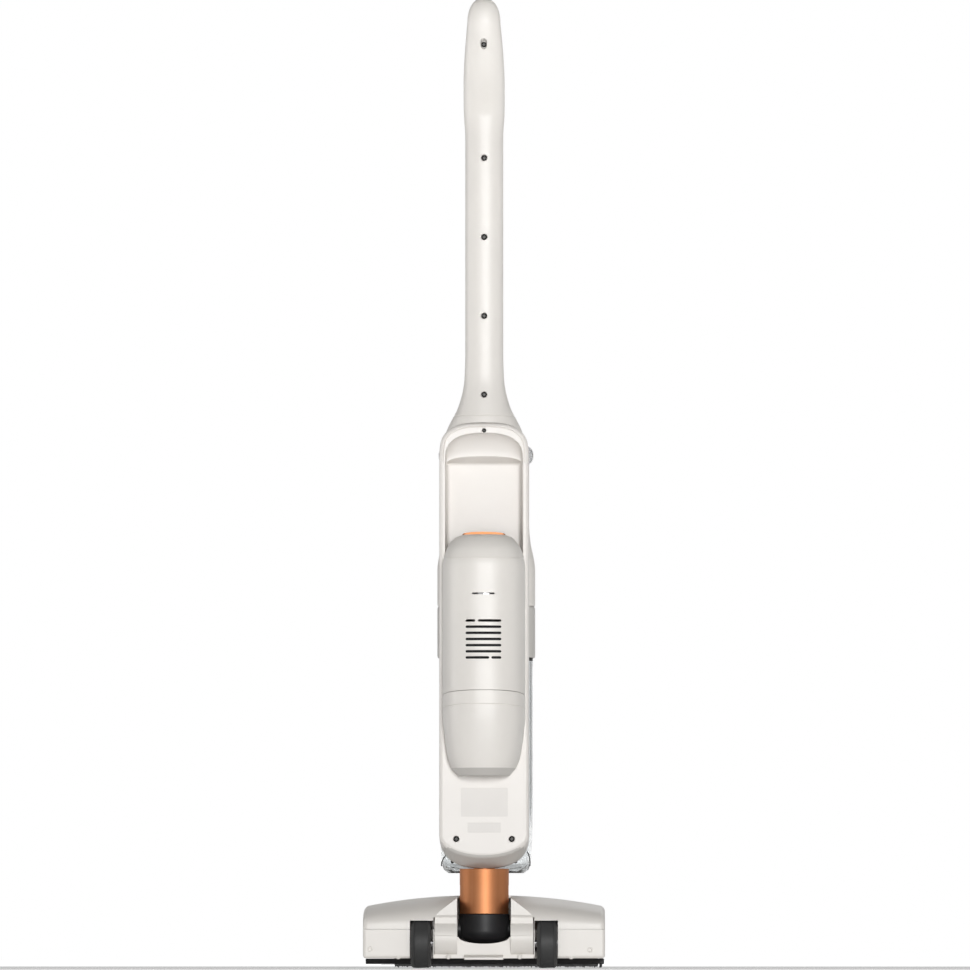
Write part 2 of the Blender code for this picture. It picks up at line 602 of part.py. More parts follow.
def make_frame():
    rings = [upright_ring(frame_outline(0.0040, PANEL_RAISE, PANEL_FOOT_ROUND), FRAME_REAR),
             upright_ring(frame_outline(0.0012, PANEL_RAISE - 0.001, PANEL_FOOT_ROUND),
                          FRAME_REAR + 0.0012),
             upright_ring(frame_outline(0.0, PANEL_RAISE - 0.0025, (0.0270, 2.1)), FRAME_REAR + 0.0045),
             upright_ring(frame_outline(0.0), -0.012),
             upright_ring(frame_outline(0.0), FRAME_FRONT)]
    frame = loft("body_frame", rings, "shell_white")
    lip_half = POCKET_HALF - 0.0015
    edge = panel_outline(POCKET_HALF, POCKET_LOW, POCKET_HIGH, POCKET_FOOT_ROUND, POCKET_TOP_ROUND)
    lip = panel_outline(lip_half, POCKET_LOW, POCKET_LIP_Z, POCKET_FOOT_ROUND, POCKET_LIP_ROUND)
    floor = panel_outline(lip_half, POCKET_LOW, POCKET_CEILING, POCKET_FOOT_ROUND, (0.0012, 6.0))
    lower = panel_outline(FRAME_HALF - WALL, FRAME_LOW + WALL, LOWER_HOLLOW_HIGH,
                          (FRAME_FOOT_ROUND[0] - WALL, FRAME_FOOT_ROUND[1]), LOWER_HOLLOW_ROUND)
    lower_rear = panel_outline(FRAME_HALF - 0.0070, FRAME_LOW + PANEL_RAISE + 0.006, LOWER_HOLLOW_HIGH,
                               PANEL_FOOT_ROUND, LOWER_HOLLOW_ROUND)
    cut(frame,
        loft("hand_pocket_cut", [upright_ring(edge, FRAME_REAR - 0.002),
                                 upright_ring(edge, FRAME_REAR),
                                 upright_ring(lip, POCKET_LIP_Y),
                                 upright_ring(floor, POCKET_FLOOR)]),
        slab("front_hollow_cut", frame_outline(WALL), "Y", POCKET_FLOOR + WALL, FRAME_FRONT + 0.01),
        loft("lower_hollow_cut", [upright_ring(lower, 0.005),
                                  upright_ring(lower, -0.010),
                                  upright_ring(lower_rear, FRAME_REAR + WALL)]),
        rod("neck_socket_cut", NECK_R + GAP, (0, 0, 0.10), (0, 0, NECK_SOCKET_HIGH + GAP), sides=40),
        rod("rim_screw_cut", 0.0025, (0, -0.04, RIM_SCREW), (0, POCKET_FLOOR, RIM_SCREW), sides=12))
    for side in (-1, 1):
        x, z = side * PANEL_SCREW[0], PANEL_SCREW[1]
        join(frame, rod(f"panel_boss_{side}", 0.0055, (x, FRAME_REAR + 0.001, z), (x, -0.020, z), sides=16))
        cut(frame, screw_hole(f"panel_hole_{side}", x, z, FRAME_REAR + SCREW_DEPTH + SCREW_HEAD_HIGH,
                              PANEL_PILOT_END))
    spine = slab("front_spine", frame_outline(0.0005), "Y", FRAME_FRONT + GAP, SPINE_FRONT, "shell_grey")
    cut(spine, rod("suction_port_cut", 0.0120, (0, 0.02, 0.330), (0, 0.05, 0.330)))


def make_frame_internals():
    box("main_board", (-0.030, 0.0120, 0.450), (0.030, 0.0136, 0.570), "board")
    rod("suction_duct", 0.0118, (0, 0.0155, 0.155), (0, 0.0155, 0.325), "shell_grey", 20)


def make_screw(name, x, y, z, length, head=HEAD_SCREW_R, shank=0.0014):
    """A pan-head screw driven along +Y from the back."""
    profile = [(0.0, 0.0), (head * 0.8, 0.0), (head, -0.0008), (head, -SCREW_HEAD_HIGH),
               (shank, -SCREW_HEAD_HIGH), (shank, -length), (0.0, -length)]
    screw = turned(name, profile, (x, y, z), "Z", "black_oxide", 8)
    screw.rotation_euler = (math.radians(90), 0.0, 0.0)


# ---------------------------------------------------------------- rear pod
POD_PROFILE = (  # level, half width, depth behind the frame
    (POD_TOP, 0.0240, 0.036), (0.4890, 0.0300, 0.044), (0.4835, 0.0362, 0.052),
    (0.4730, 0.0428, 0.059), (0.4550, POD_HALF, POD_DEPTH), (0.2910, POD_HALF, POD_DEPTH),
    (0.2665, 0.0452, 0.0610), (0.2370, 0.0407, 0.0560), (0.2228, 0.0345, 0.0500), (0.2180, 0.0290, 0.044))


def pod_ring(z, half_width, depth, inset=0.0, front=None):
    """A level D-shaped ring: rounded at the back, flat where it meets the frame."""
    front = FRAME_REAR - GAP if front is None else front
    ring = [(half_width - inset, front, z)]
    fullness = 2.5
    for step in range(13):
        angle = math.pi * step / 12
        cosine, sine = math.cos(angle), math.sin(angle)
        ring.append(((half_width - inset) * math.copysign(abs(cosine) ** (2 / fullness), cosine),
                     FRAME_REAR - GAP - 0.002 - (depth - 0.002 - inset) * sine ** (2 / fullness), z))
    ring.append((inset - half_width, front, z))
    return ring


def seam_half_space(name, level, above):
    """A large block whose face is the seam plane, which rises towards the back."""
    size = 0.30
    work = bmesh.new()
    bmesh.ops.create_cube(work, size=size)
    shift = size / 2 if above else -size / 2
    bmesh.ops.translate(work, vec=(0, 0, shift), verts=work.verts)
    hinge = Vector((0, FRAME_REAR - POD_DEPTH, level))
    bmesh.ops.transform(work, matrix=Matrix.Translation(hinge) @ Matrix.Rotation(-SEAM_TILT, 4, "X"),
                        verts=work.verts)
    return from_bmesh(name, work, None)


def pod_shell(name, above):
    shell = loft(name, [pod_ring(*row) for row in POD_PROFILE], "shell_white")
    inner_rows = list(POD_PROFILE)
    inner_rows[0] = (POD_TOP - WALL, inner_rows[0][1], inner_rows[0][2])
    inner_rows[1] = (POD_TOP - WALL - 0.0012, inner_rows[1][1], inner_rows[1][2])
    inner_rows[-1] = (0.2180 + WALL, inner_rows[-1][1], inner_rows[-1][2])
    cut(shell, loft(name + "_hollow", [pod_ring(z, w, d, WALL, FRAME_REAR + 0.01)
                                       for z, w, d in inner_rows]),
        seam_half_space(name + "_seam", POD_SEAM + (GAP if above else -GAP), not above))
    return shell


def grille_slot(name, left, right, level):
    """A round-ended slot through the pod's back wall."""
    half = GRILLE_SLOT / 2
    outline = rounded_outline((right - left) / 2, level - half, level + half, half, half * 0.999, 3)
    middle = (left + right) / 2
    return slab(name, [(x + middle, z) for x, z in outline], "Y", -0.110, -0.080)


def make_pod():
    upper = pod_shell("pod_upper_shell", True)
    cut(upper, grille_slot("single_slot", -0.0128, 0.0128, 0.4228))
    for row in range(GRILLE_ROWS):
        level = GRILLE_TOP - row * GRILLE_PITCH
        breaks = {0: ((-GRILLE_HALF, -0.0092), (-0.0063, GRILLE_HALF)),
                  GRILLE_ROWS - 1: ((-GRILLE_HALF, 0.0066), (0.0090, GRILLE_HALF))}
        for index, (left, right) in enumerate(breaks.get(row, ((-GRILLE_HALF, GRILLE_HALF),))):
            cut(upper, grille_slot(f"slot_{row}_{index}", left, right, level))
    lower = pod_shell("pod_lower_shell", False)
    cut(lower, rod("drain_cut", 0.0012, (0, -0.066, 0.21), (0, -0.066, 0.225), sides=8))
    plate = slab("pod_back_plate", rounded_outline(0.0415, 0.2300, 0.4780, 0.016, 0.020, 5), "Y",
                 FRAME_REAR + GAP, FRAME_REAR + 0.0025, "shell_grey")
    cut(plate, rod("plate_port_cut", 0.0140, (0, -0.05, 0.4350), (0, 0.0, 0.4350)))
    crescent = rounded_outline(0.0245, POD_TOP + GAP, POD_TOP + 0.0035, 0.018, 0.0015, 4)
    slab("pod_release", crescent, "Y", -0.050, FRAME_REAR + 0.006, "copper")


def make_pod_internals():
    axis_y = -0.066
    rod("suction_motor", 0.0240, (0, axis_y, 0.3950), (0, axis_y, 0.4400), "steel", 24)
    turned("impeller", [(0.0, 0.4600), (0.006, 0.4600), (0.010, 0.4500), (0.0225, 0.4450), (0.0225, 0.4410),
                        (0.0, 0.4410)], (0, axis_y, 0), "Z", "shell_grey", 24)
    box("exhaust_filter", (-0.022, -0.0890, 0.3400), (0.022, -0.0865, 0.3900), "carbon_foam")
    battery = box("battery_pack", (-0.028, -0.0780, 0.2420), (0.028, -0.0362, 0.3020), "cell_blue")
    bevel(battery, 0.004)


# ---------------------------------------------------------------- pole and grip
POLE_PROFILE = (  # level, half width, rear y, front y
    (0.5880, 0.0497, -0.0343, SPINE_FRONT), (0.6000, 0.0462, -0.0343, SPINE_FRONT),
    (0.6112, 0.0425, -0.0340, 0.0332), (0.6226, 0.0370, -0.0326, 0.0300),
    (0.6340, 0.0309, -0.0305, 0.0258), (0.6454, 0.0270, -0.0280, 0.0220),
    (0.6567, 0.0242, -0.0257, 0.0190), (0.6680, 0.0226, -0.0240, 0.0168),
    (0.7000, POLE_HALF, -0.0230, 0.0150), (0.9450, POLE_HALF, -0.0230, 0.0150),
    (0.9700, 0.0231, -0.0240, 0.0135), (0.9900, 0.0234, -0.0295, 0.0090),
    (1.0100, 0.0233, -0.0385, 0.0010), (1.0310, 0.0222, -0.0480, -0.0100),
    (1.0540, 0.0205, -0.0560, -0.0225), (1.0725, 0.0188, -0.0595, -0.0300),
    (1.0860, 0.0165, -0.0600, -0.0345), (1.0950, 0.0130, -0.0570, -0.0380),
    (HEIGHT, 0.0050, -0.0500, -0.0430))


def pole_shell(name, rear):
    shell = loft(name, [oval_ring(*row) for row in POLE_PROFILE], "shell_white")
    inner = [(z, w - WALL, r + WALL, f - WALL) for z, w, r, f in POLE_PROFILE[:-3]]
    inner[0] = (0.57, inner[0][1], inner[0][2], inner[0][3])
    cut(shell, loft(name + "_hollow", [oval_ring(*row) for row in inner]))
    cut(shell, slab(name + "_frame_cut", frame_outline(-GAP), "Y", -0.08, 0.06))
    for level in POLE_SCREWS:
        start, end = pole_faces(level)
        join(shell, rod(f"{name}_boss_{level}", 0.0052, (0, start + WALL / 2, level),
                        (0, end - WALL / 2, level), sides=10))
    cut(shell, seam_side(name + "_side", rear))
    for level in POLE_SCREWS:
        seat = pole_faces(level)[0] + SCREW_DEPTH + SCREW_HEAD_HIGH
        cut(shell, screw_hole(f"{name}_screw_{level}", 0.0, level, seat, POLE_PILOT_END))
    return shell


def screw_hole(name, x, z, seat, end, head=HEAD_SCREW_R + GAP):
    """Cutter for a screw hole from the back: wide down to the seat, then the pilot."""
    profile = [(0.0, end), (0.0018, end), (0.0018, seat), (head, seat), (head, -0.09), (0.0, -0.09)]
    return turned(name, profile, (x, 0, z), "Y", None, 12)


def pole_faces(level):
    """Rear and front y of the pole at a level, read between the rows of its profile."""
    for low, high in zip(POLE_PROFILE, POLE_PROFILE[1:]):
        if low[0] <= level <= high[0]:
            part = (level - low[0]) / (high[0] - low[0])
            return [low[i] + (high[i] - low[i]) * part for i in (2, 3)]
    return [0.0, 0.0]


def seam_side(name, rear):
    """The half space to remove: everything past the seam, which follows the grip's lean."""
    clear = GAP / 2
    edge = [(POLE_SPLIT, 0.55), (POLE_SPLIT, 0.955), (-0.0100, 0.990), (-0.0190, 1.010),
            (-0.0290, 1.031), (-0.0390, 1.054), (-0.0445, 1.0725), (-0.0465, 1.13)]
    if rear:
        outline = [(y - clear, z) for y, z in edge] + [(0.10, 1.13), (0.10, 0.55)]
    else:
        outline = [(y + clear, z) for y, z in edge] + [(-0.12, 1.13), (-0.12, 0.55)]
    return slab(name, outline, "X", -0.08, 0.08)


def make_pole():
    rear = pole_shell("pole_rear_shell", True)
    grip_hole = rounded_outline(0.0034, GRIP_SCREW - 0.0055, GRIP_SCREW + 0.0055, 0.0033, 0.0054, 4)
    join(rear, slab("grip_boss", rounded_outline(0.0060, GRIP_SCREW - 0.0080, GRIP_SCREW + 0.0080,
                                                 0.0050, 0.0070, 4), "Y", -0.0510, -0.0400))
    cut(rear, slab("grip_hole_cut", grip_hole, "Y", -0.08, -0.0440),
        rod("grip_pilot_cut", 0.0018, (0, -0.08, GRIP_SCREW), (0, -0.03, GRIP_SCREW), sides=10))
    front = pole_shell("pole_front_shell", False)
    for name, level, half in BUTTONS:
        slope_y = pole_faces(level)[1]
        cut(front, rod(f"{name}_hole", half + GAP, (0, slope_y - 0.02, level), (0, slope_y + 0.02, level),
                       sides=24))


def make_buttons():
    for name, level, half in BUTTONS:
        face = pole_faces(level)[1]
        button = rod(name, half, (0, face - 0.0060, level), (0, face + 0.0012, level), "shell_grey", 24)
        bevel(button, 0.0006, 1)


# ---------------------------------------------------------------- tanks and display
def tank_ring(z, half_width, rear_inset=0.0, front=TANK_FRONT, inset=0.0, fullness=3.4):
    return oval_ring(z, half_width - inset, TANK_REAR + rear_inset + inset, front - inset, fullness, 24)


def make_dirty_tank():
    rows = ((DIRTY_LOW, 0.0440, 0.100), (DIRTY_LOW + 0.003, 0.0490, 0.105),
            (DIRTY_LOW + 0.012, 0.0520, 0.109), (0.200, 0.0547, TANK_FRONT),
            (DIRTY_HIGH, 0.0547, TANK_FRONT))
    tank = loft("dirty_water_tank", [tank_ring(z, w, 0.0, f) for z, w, f in rows], "clear_tank")
    inner = [(DIRTY_LOW + WALL, 0.0440, 0.100)] + [(z + 0.001, w, f) for z, w, f in rows[1:-1]]
    inner.append((DIRTY_HIGH + 0.01, 0.0547, TANK_FRONT))
    cut(tank, loft("dirty_hollow_cut", [tank_ring(z, w, 0.0, f, WALL) for z, w, f in inner]))
    gasket = loft("tank_gasket", [tank_ring(DIRTY_HIGH + GAP, 0.0545, 0.0005, TANK_FRONT - 0.0005),
                                  tank_ring(DIRTY_HIGH + 0.0035, 0.0545, 0.0005, TANK_FRONT - 0.0005)],
                  "rubber")
    cut(gasket, loft("gasket_hole_cut", [tank_ring(DIRTY_HIGH - 0.01, 0.0545, 0, TANK_FRONT, 0.0035),
                                         tank_ring(DIRTY_HIGH + 0.02, 0.0545, 0, TANK_FRONT, 0.0035)]))
    turned("tank_riser", [(0.0125, 0.335), (0.0125, DIRTY_LOW + 0.012), (0.0105, DIRTY_LOW + 0.012),
                          (0.0105, 0.335)], (0, 0.064, 0), "Z", "clear_tank", 20)
    turned("float_ball", [(0.0, 0.3200), (0.0060, 0.3200), (0.0080, 0.3170), (0.0080, 0.3030),
                          (0.0060, 0.3000), (0.0, 0.3000)], (0.030, 0.075, 0), "Z", "rubber", 16)


def make_tank_lid():
    low = DIRTY_HIGH + 0.0035 + GAP
    rows = ((low, 0.0560, TANK_FRONT), (low + 0.003, 0.0571, TANK_FRONT),
            (LID_HIGH - 0.002, 0.0571, TANK_FRONT), (LID_HIGH, 0.0560, TANK_FRONT))
    lid = loft("tank_lid", [tank_ring(z, w, 0.0, f) for z, w, f in rows], "shell_grey")
    cut(lid,
        loft("lid_hollow_cut", [tank_ring(low - 0.01, 0.0530, 0.0, TANK_FRONT, 0.004),
                                tank_ring(LID_HIGH - 0.006, 0.0530, 0.0, TANK_FRONT, 0.004)]),
        box("latch_slot_cut", (-0.0183, 0.100, 0.3780), (0.0183, 0.12, 0.3980)))
    rod("dry_filter", 0.0230, (0, 0.072, 0.3600), (0, 0.072, 0.4050), "filter", 24)
    box("tank_latch", (-0.018, 0.1010, 0.3783), (0.018, TANK_FRONT - 0.0008, 0.3977), "shell_white", 0.001)


def make_clean_tank():
    low = LID_HIGH + 2 * GAP
    rows = ((low, 0.0560, TANK_FRONT), (low + 0.002, 0.0571, TANK_FRONT), (0.4540, 0.0571, TANK_FRONT),
            (0.4880, 0.0515, TANK_FRONT - 0.002), (0.5300, 0.0480, 0.106),
            (CLEAN_HIGH - 0.004, 0.0450, 0.098), (CLEAN_HIGH, 0.0410, 0.092))
    tank = loft("clean_water_tank", [tank_ring(z, w, 0.0, f) for z, w, f in rows], "shell_white")
    inner = [(low + WALL, 0.0560, TANK_FRONT)] + [(z, w, f) for z, w, f in rows[2:-2]]
    inner.append((CLEAN_HIGH - WALL, 0.0430, 0.095))
    cut(tank, loft("clean_hollow_cut", [tank_ring(z, w, 0.0, f, WALL) for z, w, f in inner]),
        rod("filler_hole_cut", 0.0125, (0, 0.064, 0.54), (0, 0.064, 0.58)))
    turned("filler_cap", [(0.0, CLEAN_HIGH + 0.0045), (0.014, CLEAN_HIGH + 0.0045),
                          (0.0155, CLEAN_HIGH + 0.003), (0.0155, CLEAN_HIGH + GAP),
                          (0.0120, CLEAN_HIGH + GAP), (0.0120, CLEAN_HIGH - 0.006),
                          (0.0, CLEAN_HIGH - 0.006)], (0, 0.064, 0), "Z", "copper", 24)


def display_ring(y, half_width, half_height):
    return [(x, y, DISPLAY_Z + z) for x, _, z in
            ((px, 0, pz) for px, pz, _ in oval_ring(0, half_width, -half_height, half_height, 2.6, 24))]


def make_display():
    loft("display_housing", [display_ring(SPINE_FRONT + GAP, 0.0545, 0.0180),
                             display_ring(0.0440, 0.0555, 0.0185),
                             display_ring(0.0540, 0.0530, 0.0170)], "gloss_black")
    loft("display_lens", [display_ring(0.0540 + GAP, 0.0500, 0.0150),
                          display_ring(0.0570, 0.0470, 0.0130),
                          display_ring(0.0585, 0.0400, 0.0090)], "gloss_black")


def make_screws():
    for index, level in enumerate(POLE_SCREWS):
        make_screw(f"pole_screw_{index + 1}", 0.0, pole_faces(level)[0] + SCREW_DEPTH, level, 0.024)
    make_screw("grip_screw", 0.0, -0.0470, GRIP_SCREW, 0.012)
    make_screw("rim_screw", 0.0, FRAME_REAR + 0.004, RIM_SCREW, 0.010, 0.0022, 0.0012)
    for side, name in ((-1, "left"), (1, "right")):
        make_screw(f"panel_screw_{name}", side * PANEL_SCREW[0], FRAME_REAR + SCREW_DEPTH, PANEL_SCREW[1],
                   0.0145)


def place():
    """Move the machine so that its bounding box is centred on the origin."""
    for piece in list(PARTS.objects) + list(CUTTERS.objects):
        piece.location.y += NECK_Y


def build():
    make_chassis()
    make_head_top()
    make_roller_cover()
    make_yoke()
    make_wheels()
    make_roller()
    make_brush_drive()
    make_head_fittings()
    make_knuckle()
    make_neck()
    make_frame()
    make_frame_internals()
    make_pod()
    make_pod_internals()
    make_pole()
    make_buttons()
    make_dirty_tank()
    make_tank_lid()
    make_clean_tank()
    make_display()
    make_screws()
    place()


build()
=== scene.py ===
"""Looks of the wet dry floor scrubber: finished pieces, finishes, floor, light and camera.

Metres, +Z up, -Y is the user's side.  Pieces are shaped about the neck's axis, and placed()
moves them by AXIS_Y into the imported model's frame.
"""

import math
import random

import bmesh
import bpy
from mathutils import Matrix, Vector


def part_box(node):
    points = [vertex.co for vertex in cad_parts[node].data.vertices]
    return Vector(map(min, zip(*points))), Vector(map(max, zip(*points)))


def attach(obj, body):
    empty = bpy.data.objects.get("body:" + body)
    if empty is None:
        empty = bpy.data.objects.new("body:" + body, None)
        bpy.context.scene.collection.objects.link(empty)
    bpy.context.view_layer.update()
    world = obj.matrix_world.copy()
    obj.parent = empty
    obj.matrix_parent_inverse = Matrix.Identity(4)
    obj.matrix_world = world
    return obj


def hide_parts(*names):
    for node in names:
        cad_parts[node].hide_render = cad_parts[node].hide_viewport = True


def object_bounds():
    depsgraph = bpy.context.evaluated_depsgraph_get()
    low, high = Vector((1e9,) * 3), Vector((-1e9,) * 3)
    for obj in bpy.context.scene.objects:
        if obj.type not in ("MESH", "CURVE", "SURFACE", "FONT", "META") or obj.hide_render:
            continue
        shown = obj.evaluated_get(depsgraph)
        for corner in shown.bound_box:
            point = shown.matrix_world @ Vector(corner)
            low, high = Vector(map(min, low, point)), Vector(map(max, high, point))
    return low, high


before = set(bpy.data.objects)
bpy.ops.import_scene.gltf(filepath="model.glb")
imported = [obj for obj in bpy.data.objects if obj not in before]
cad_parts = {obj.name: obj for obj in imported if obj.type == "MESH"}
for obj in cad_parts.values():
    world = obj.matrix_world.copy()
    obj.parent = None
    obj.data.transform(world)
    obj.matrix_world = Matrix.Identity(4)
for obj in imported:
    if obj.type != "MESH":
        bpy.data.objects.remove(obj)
CAD_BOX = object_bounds()


def extent(node):
    """Lowest and highest corner of a CAD node, with y measured from the neck's axis."""
    low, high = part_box(node)
    return low - Vector((0, AXIS_Y, 0)), high - Vector((0, AXIS_Y, 0))


# ---------------------------------------------------------------- sizes read from the frame
neck_low, neck_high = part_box("neck_tube")
AXIS_Y = (neck_low.y + neck_high.y) / 2
NECK_R = neck_high.x
HEIGHT = CAD_BOX[1].z

frame_low, frame_high = extent("body_frame")
FRAME_HALF = frame_high.x
FRAME_LOW, FRAME_HIGH = frame_low.z, frame_high.z
FRAME_REAR, FRAME_FRONT = frame_low.y, frame_high.y
SPINE_FRONT = extent("front_spine")[1].y

head_low, head_high = extent("head_chassis")
HEAD_HALF = head_high.x
HEAD_LOW = head_low.z
HEAD_SEAM = extent("head_top_shell")[0].z
HEAD_REAR = head_low.y
HEAD_FRONT = extent("roller_cover")[1].y
HEAD_TOP = extent("head_top_shell")[1].z
COVER_SPLIT = extent("head_top_shell")[1].y
COVER_LOW = extent("roller_cover")[0].z

roller_low, roller_high = extent("roller_sleeve")
ROLLER_R = (roller_high.z - roller_low.z) / 2
ROLLER_Y = (roller_low.y + roller_high.y) / 2
ROLLER_LEFT = roller_low.x

wheel_low, wheel_high = extent("wheel_right")
WHEEL_R = (wheel_high.z - wheel_low.z) / 2
WHEEL_Y = (wheel_low.y + wheel_high.y) / 2
WHEEL_X = (wheel_low.x + wheel_high.x) / 2
WHEEL_HALF = (wheel_high.x - wheel_low.x) / 2

YOKE_HALF = extent("neck_yoke")[1].x
PITCH_Z = (extent("pitch_pin_left")[0].z + extent("pitch_pin_left")[1].z) / 2
KNUCKLE_TOP = extent("knuckle")[1].z
KNUCKLE_LOW = extent("knuckle")[0].z
KNUCKLE_R = (extent("knuckle")[1].y - extent("knuckle")[0].y) / 2

pod_high = extent("pod_upper_shell")[1].z
pod_low = extent("pod_lower_shell")[0].z
POD_REAR = extent("pod_upper_shell")[0].y
POD_HALF = extent("pod_upper_shell")[1].x

TANK_REAR = extent("dirty_water_tank")[0].y
TANK_FRONT = extent("dirty_water_tank")[1].y
DIRTY_LOW, DIRTY_HIGH = extent("dirty_water_tank")[0].z, extent("dirty_water_tank")[1].z
LID_LOW, LID_HIGH = extent("tank_lid")[0].z, extent("tank_lid")[1].z
CLEAN_LOW, CLEAN_HIGH = extent("clean_water_tank")[0].z, extent("clean_water_tank")[1].z
DISPLAY_Z = (extent("display_housing")[0].z + extent("display_housing")[1].z) / 2

WALL = 0.0026             # moulded wall thickness
SEAM = 0.0003             # half the gap between two shells
GROOVE_HALF = 0.0005      # half width and depth of a moulded parting line
GROOVE_DEPTH = 0.0005


# ---------------------------------------------------------------- finishes
def new_material(name):
    material = bpy.data.materials.new(name)
    material.use_nodes = True
    tree = material.node_tree
    return material, tree, tree.nodes["Principled BSDF"]


def add_node(tree, kind, fields=None, **inputs):
    """A shader node: fields are its settings, and inputs are socket values or links."""
    node = tree.nodes.new(kind)
    for field, value in (fields or {}).items():
        setattr(node, field, value)
    for socket, value in inputs.items():
        target = node.inputs[socket.replace("_", " ")]
        if isinstance(value, bpy.types.NodeSocket):
            tree.links.new(value, target)
        else:
            target.default_value = value
    return node


def object_coordinates(tree, stretch=(1.0, 1.0, 1.0)):
    place = tree.nodes.new("ShaderNodeTexCoord").outputs["Object"]
    return add_node(tree, "ShaderNodeMapping", Vector=place, Scale=stretch).outputs[0]


def noise(tree, scale, detail=3.0, stretch=(1.0, 1.0, 1.0), roughness=0.5):
    return add_node(tree, "ShaderNodeTexNoise", Vector=object_coordinates(tree, stretch), Scale=scale,
                    Detail=detail, Roughness=roughness).outputs[0]


def ramp(tree, factor, stops):
    """Colours over a factor; stops are (position, colour)."""
    node = add_node(tree, "ShaderNodeValToRGB", Fac=factor)
    elements = node.color_ramp.elements
    while len(elements) < len(stops):
        elements.new(0.5)
    for element, (position, colour) in zip(elements, stops):
        element.position = position
        element.color = (*colour, 1.0)
    return node.outputs[0]


def remap(tree, value, low, high):
    return add_node(tree, "ShaderNodeMapRange", Value=value, To_Min=low, To_Max=high).outputs[0]


def bumped(tree, shader, height, depth, strength=1.0):
    normal = shader.inputs["Normal"]
    before = normal.links[0].from_socket if normal.links else None
    node = add_node(tree, "ShaderNodeBump", Height=height, Distance=depth, Strength=strength)
    if before:
        tree.links.new(before, node.inputs["Normal"])
    tree.links.new(node.outputs[0], normal)


def moulded(name, light, dark, rough, grain=1400.0, depth=0.00002, metallic=0.0, coat=0.0,
            specular=0.5):
    """Moulded plastic: slight tint drift, fine spark-eroded grain and uneven gloss."""
    material, tree, shader = new_material(name)
    drift = noise(tree, 14.0, 4.0)
    tree.links.new(ramp(tree, drift, ((0.30, dark), (0.62, light))), shader.inputs["Base Color"])
    tree.links.new(remap(tree, noise(tree, 55.0, 5.0), rough[0], rough[1]), shader.inputs["Roughness"])
    bumped(tree, shader, noise(tree, grain, 2.0), depth)
    bumped(tree, shader, noise(tree, 60.0, 2.0), 0.00004, 0.5)
    shader.inputs["Metallic"].default_value = metallic
    shader.inputs["Specular IOR Level"].default_value = specular
    shader.inputs["Coat Weight"].default_value = coat
    shader.inputs["Coat Roughness"].default_value = 0.08
    return material


def brushed(name, light, dark, rough, stretch, metallic=1.0):
    """Metal with fine brush lines along its least stretched axis."""
    material, tree, shader = new_material(name)
    lines = noise(tree, 60.0, 6.0, stretch, 0.65)
    cloud = noise(tree, 25.0, 3.0)
    both = add_node(tree, "ShaderNodeMath", {"operation": "MULTIPLY_ADD"}).inputs
    tree.links.new(lines, both[0])
    both[1].default_value = 0.6
    tree.links.new(remap(tree, cloud, 0.0, 0.4), both[2])
    mixed = both[0].node.outputs[0]
    tree.links.new(ramp(tree, mixed, ((0.25, dark), (0.75, light))), shader.inputs["Base Color"])
    tree.links.new(remap(tree, lines, rough[0], rough[1]), shader.inputs["Roughness"])
    bumped(tree, shader, lines, 0.00001, 0.5)
    shader.inputs["Metallic"].default_value = metallic
    return material


def clear_plastic(name):
    material, tree, shader = new_material(name)
    tint = ramp(tree, noise(tree, 20.0), ((0.3, (0.90, 0.93, 0.94)), (0.7, (0.97, 0.98, 0.98))))
    tree.links.new(tint, shader.inputs["Base Color"])
    tree.links.new(remap(tree, noise(tree, 90.0, 4.0), 0.03, 0.09), shader.inputs["Roughness"])
    bumped(tree, shader, noise(tree, 45.0, 2.0), 0.00001, 0.3)
    shader.inputs["Transmission Weight"].default_value = 0.92
    shader.inputs["IOR"].default_value = 1.46
    return material


def pile_fibre(name):
    """Short microfibre pile: tufts in two greys with a soft sheen."""
    material, tree, shader = new_material(name)
    tufts = add_node(tree, "ShaderNodeTexVoronoi", Vector=object_coordinates(tree), Scale=620.0).outputs[0]
    patches = noise(tree, 90.0, 6.0, (1.0, 1.0, 1.0), 0.7)
    colour = ramp(tree, patches, ((0.30, (0.075, 0.075, 0.08)), (0.52, (0.16, 0.16, 0.165)),
                                  (0.74, (0.30, 0.30, 0.31))))
    tree.links.new(colour, shader.inputs["Base Color"])
    bumped(tree, shader, tufts, 0.0006)
    shader.inputs["Roughness"].default_value = 0.95
    shader.inputs["Sheen Weight"].default_value = 0.4
    return material


def patterned(name, texture, scale, stretch, stops, rough, depth, metallic=0.0):
    """A finish with a regular pattern: a brick or wave texture under a little noise."""
    material, tree, shader = new_material(name)
    pattern = add_node(tree, texture, Vector=object_coordinates(tree, stretch), Scale=scale)
    height = pattern.outputs["Fac"]
    tree.links.new(ramp(tree, height, stops), shader.inputs["Base Color"])
    tree.links.new(remap(tree, noise(tree, 200.0), rough[0], rough[1]), shader.inputs["Roughness"])
    bumped(tree, shader, height, depth)
    shader.inputs["Metallic"].default_value = metallic
    return material


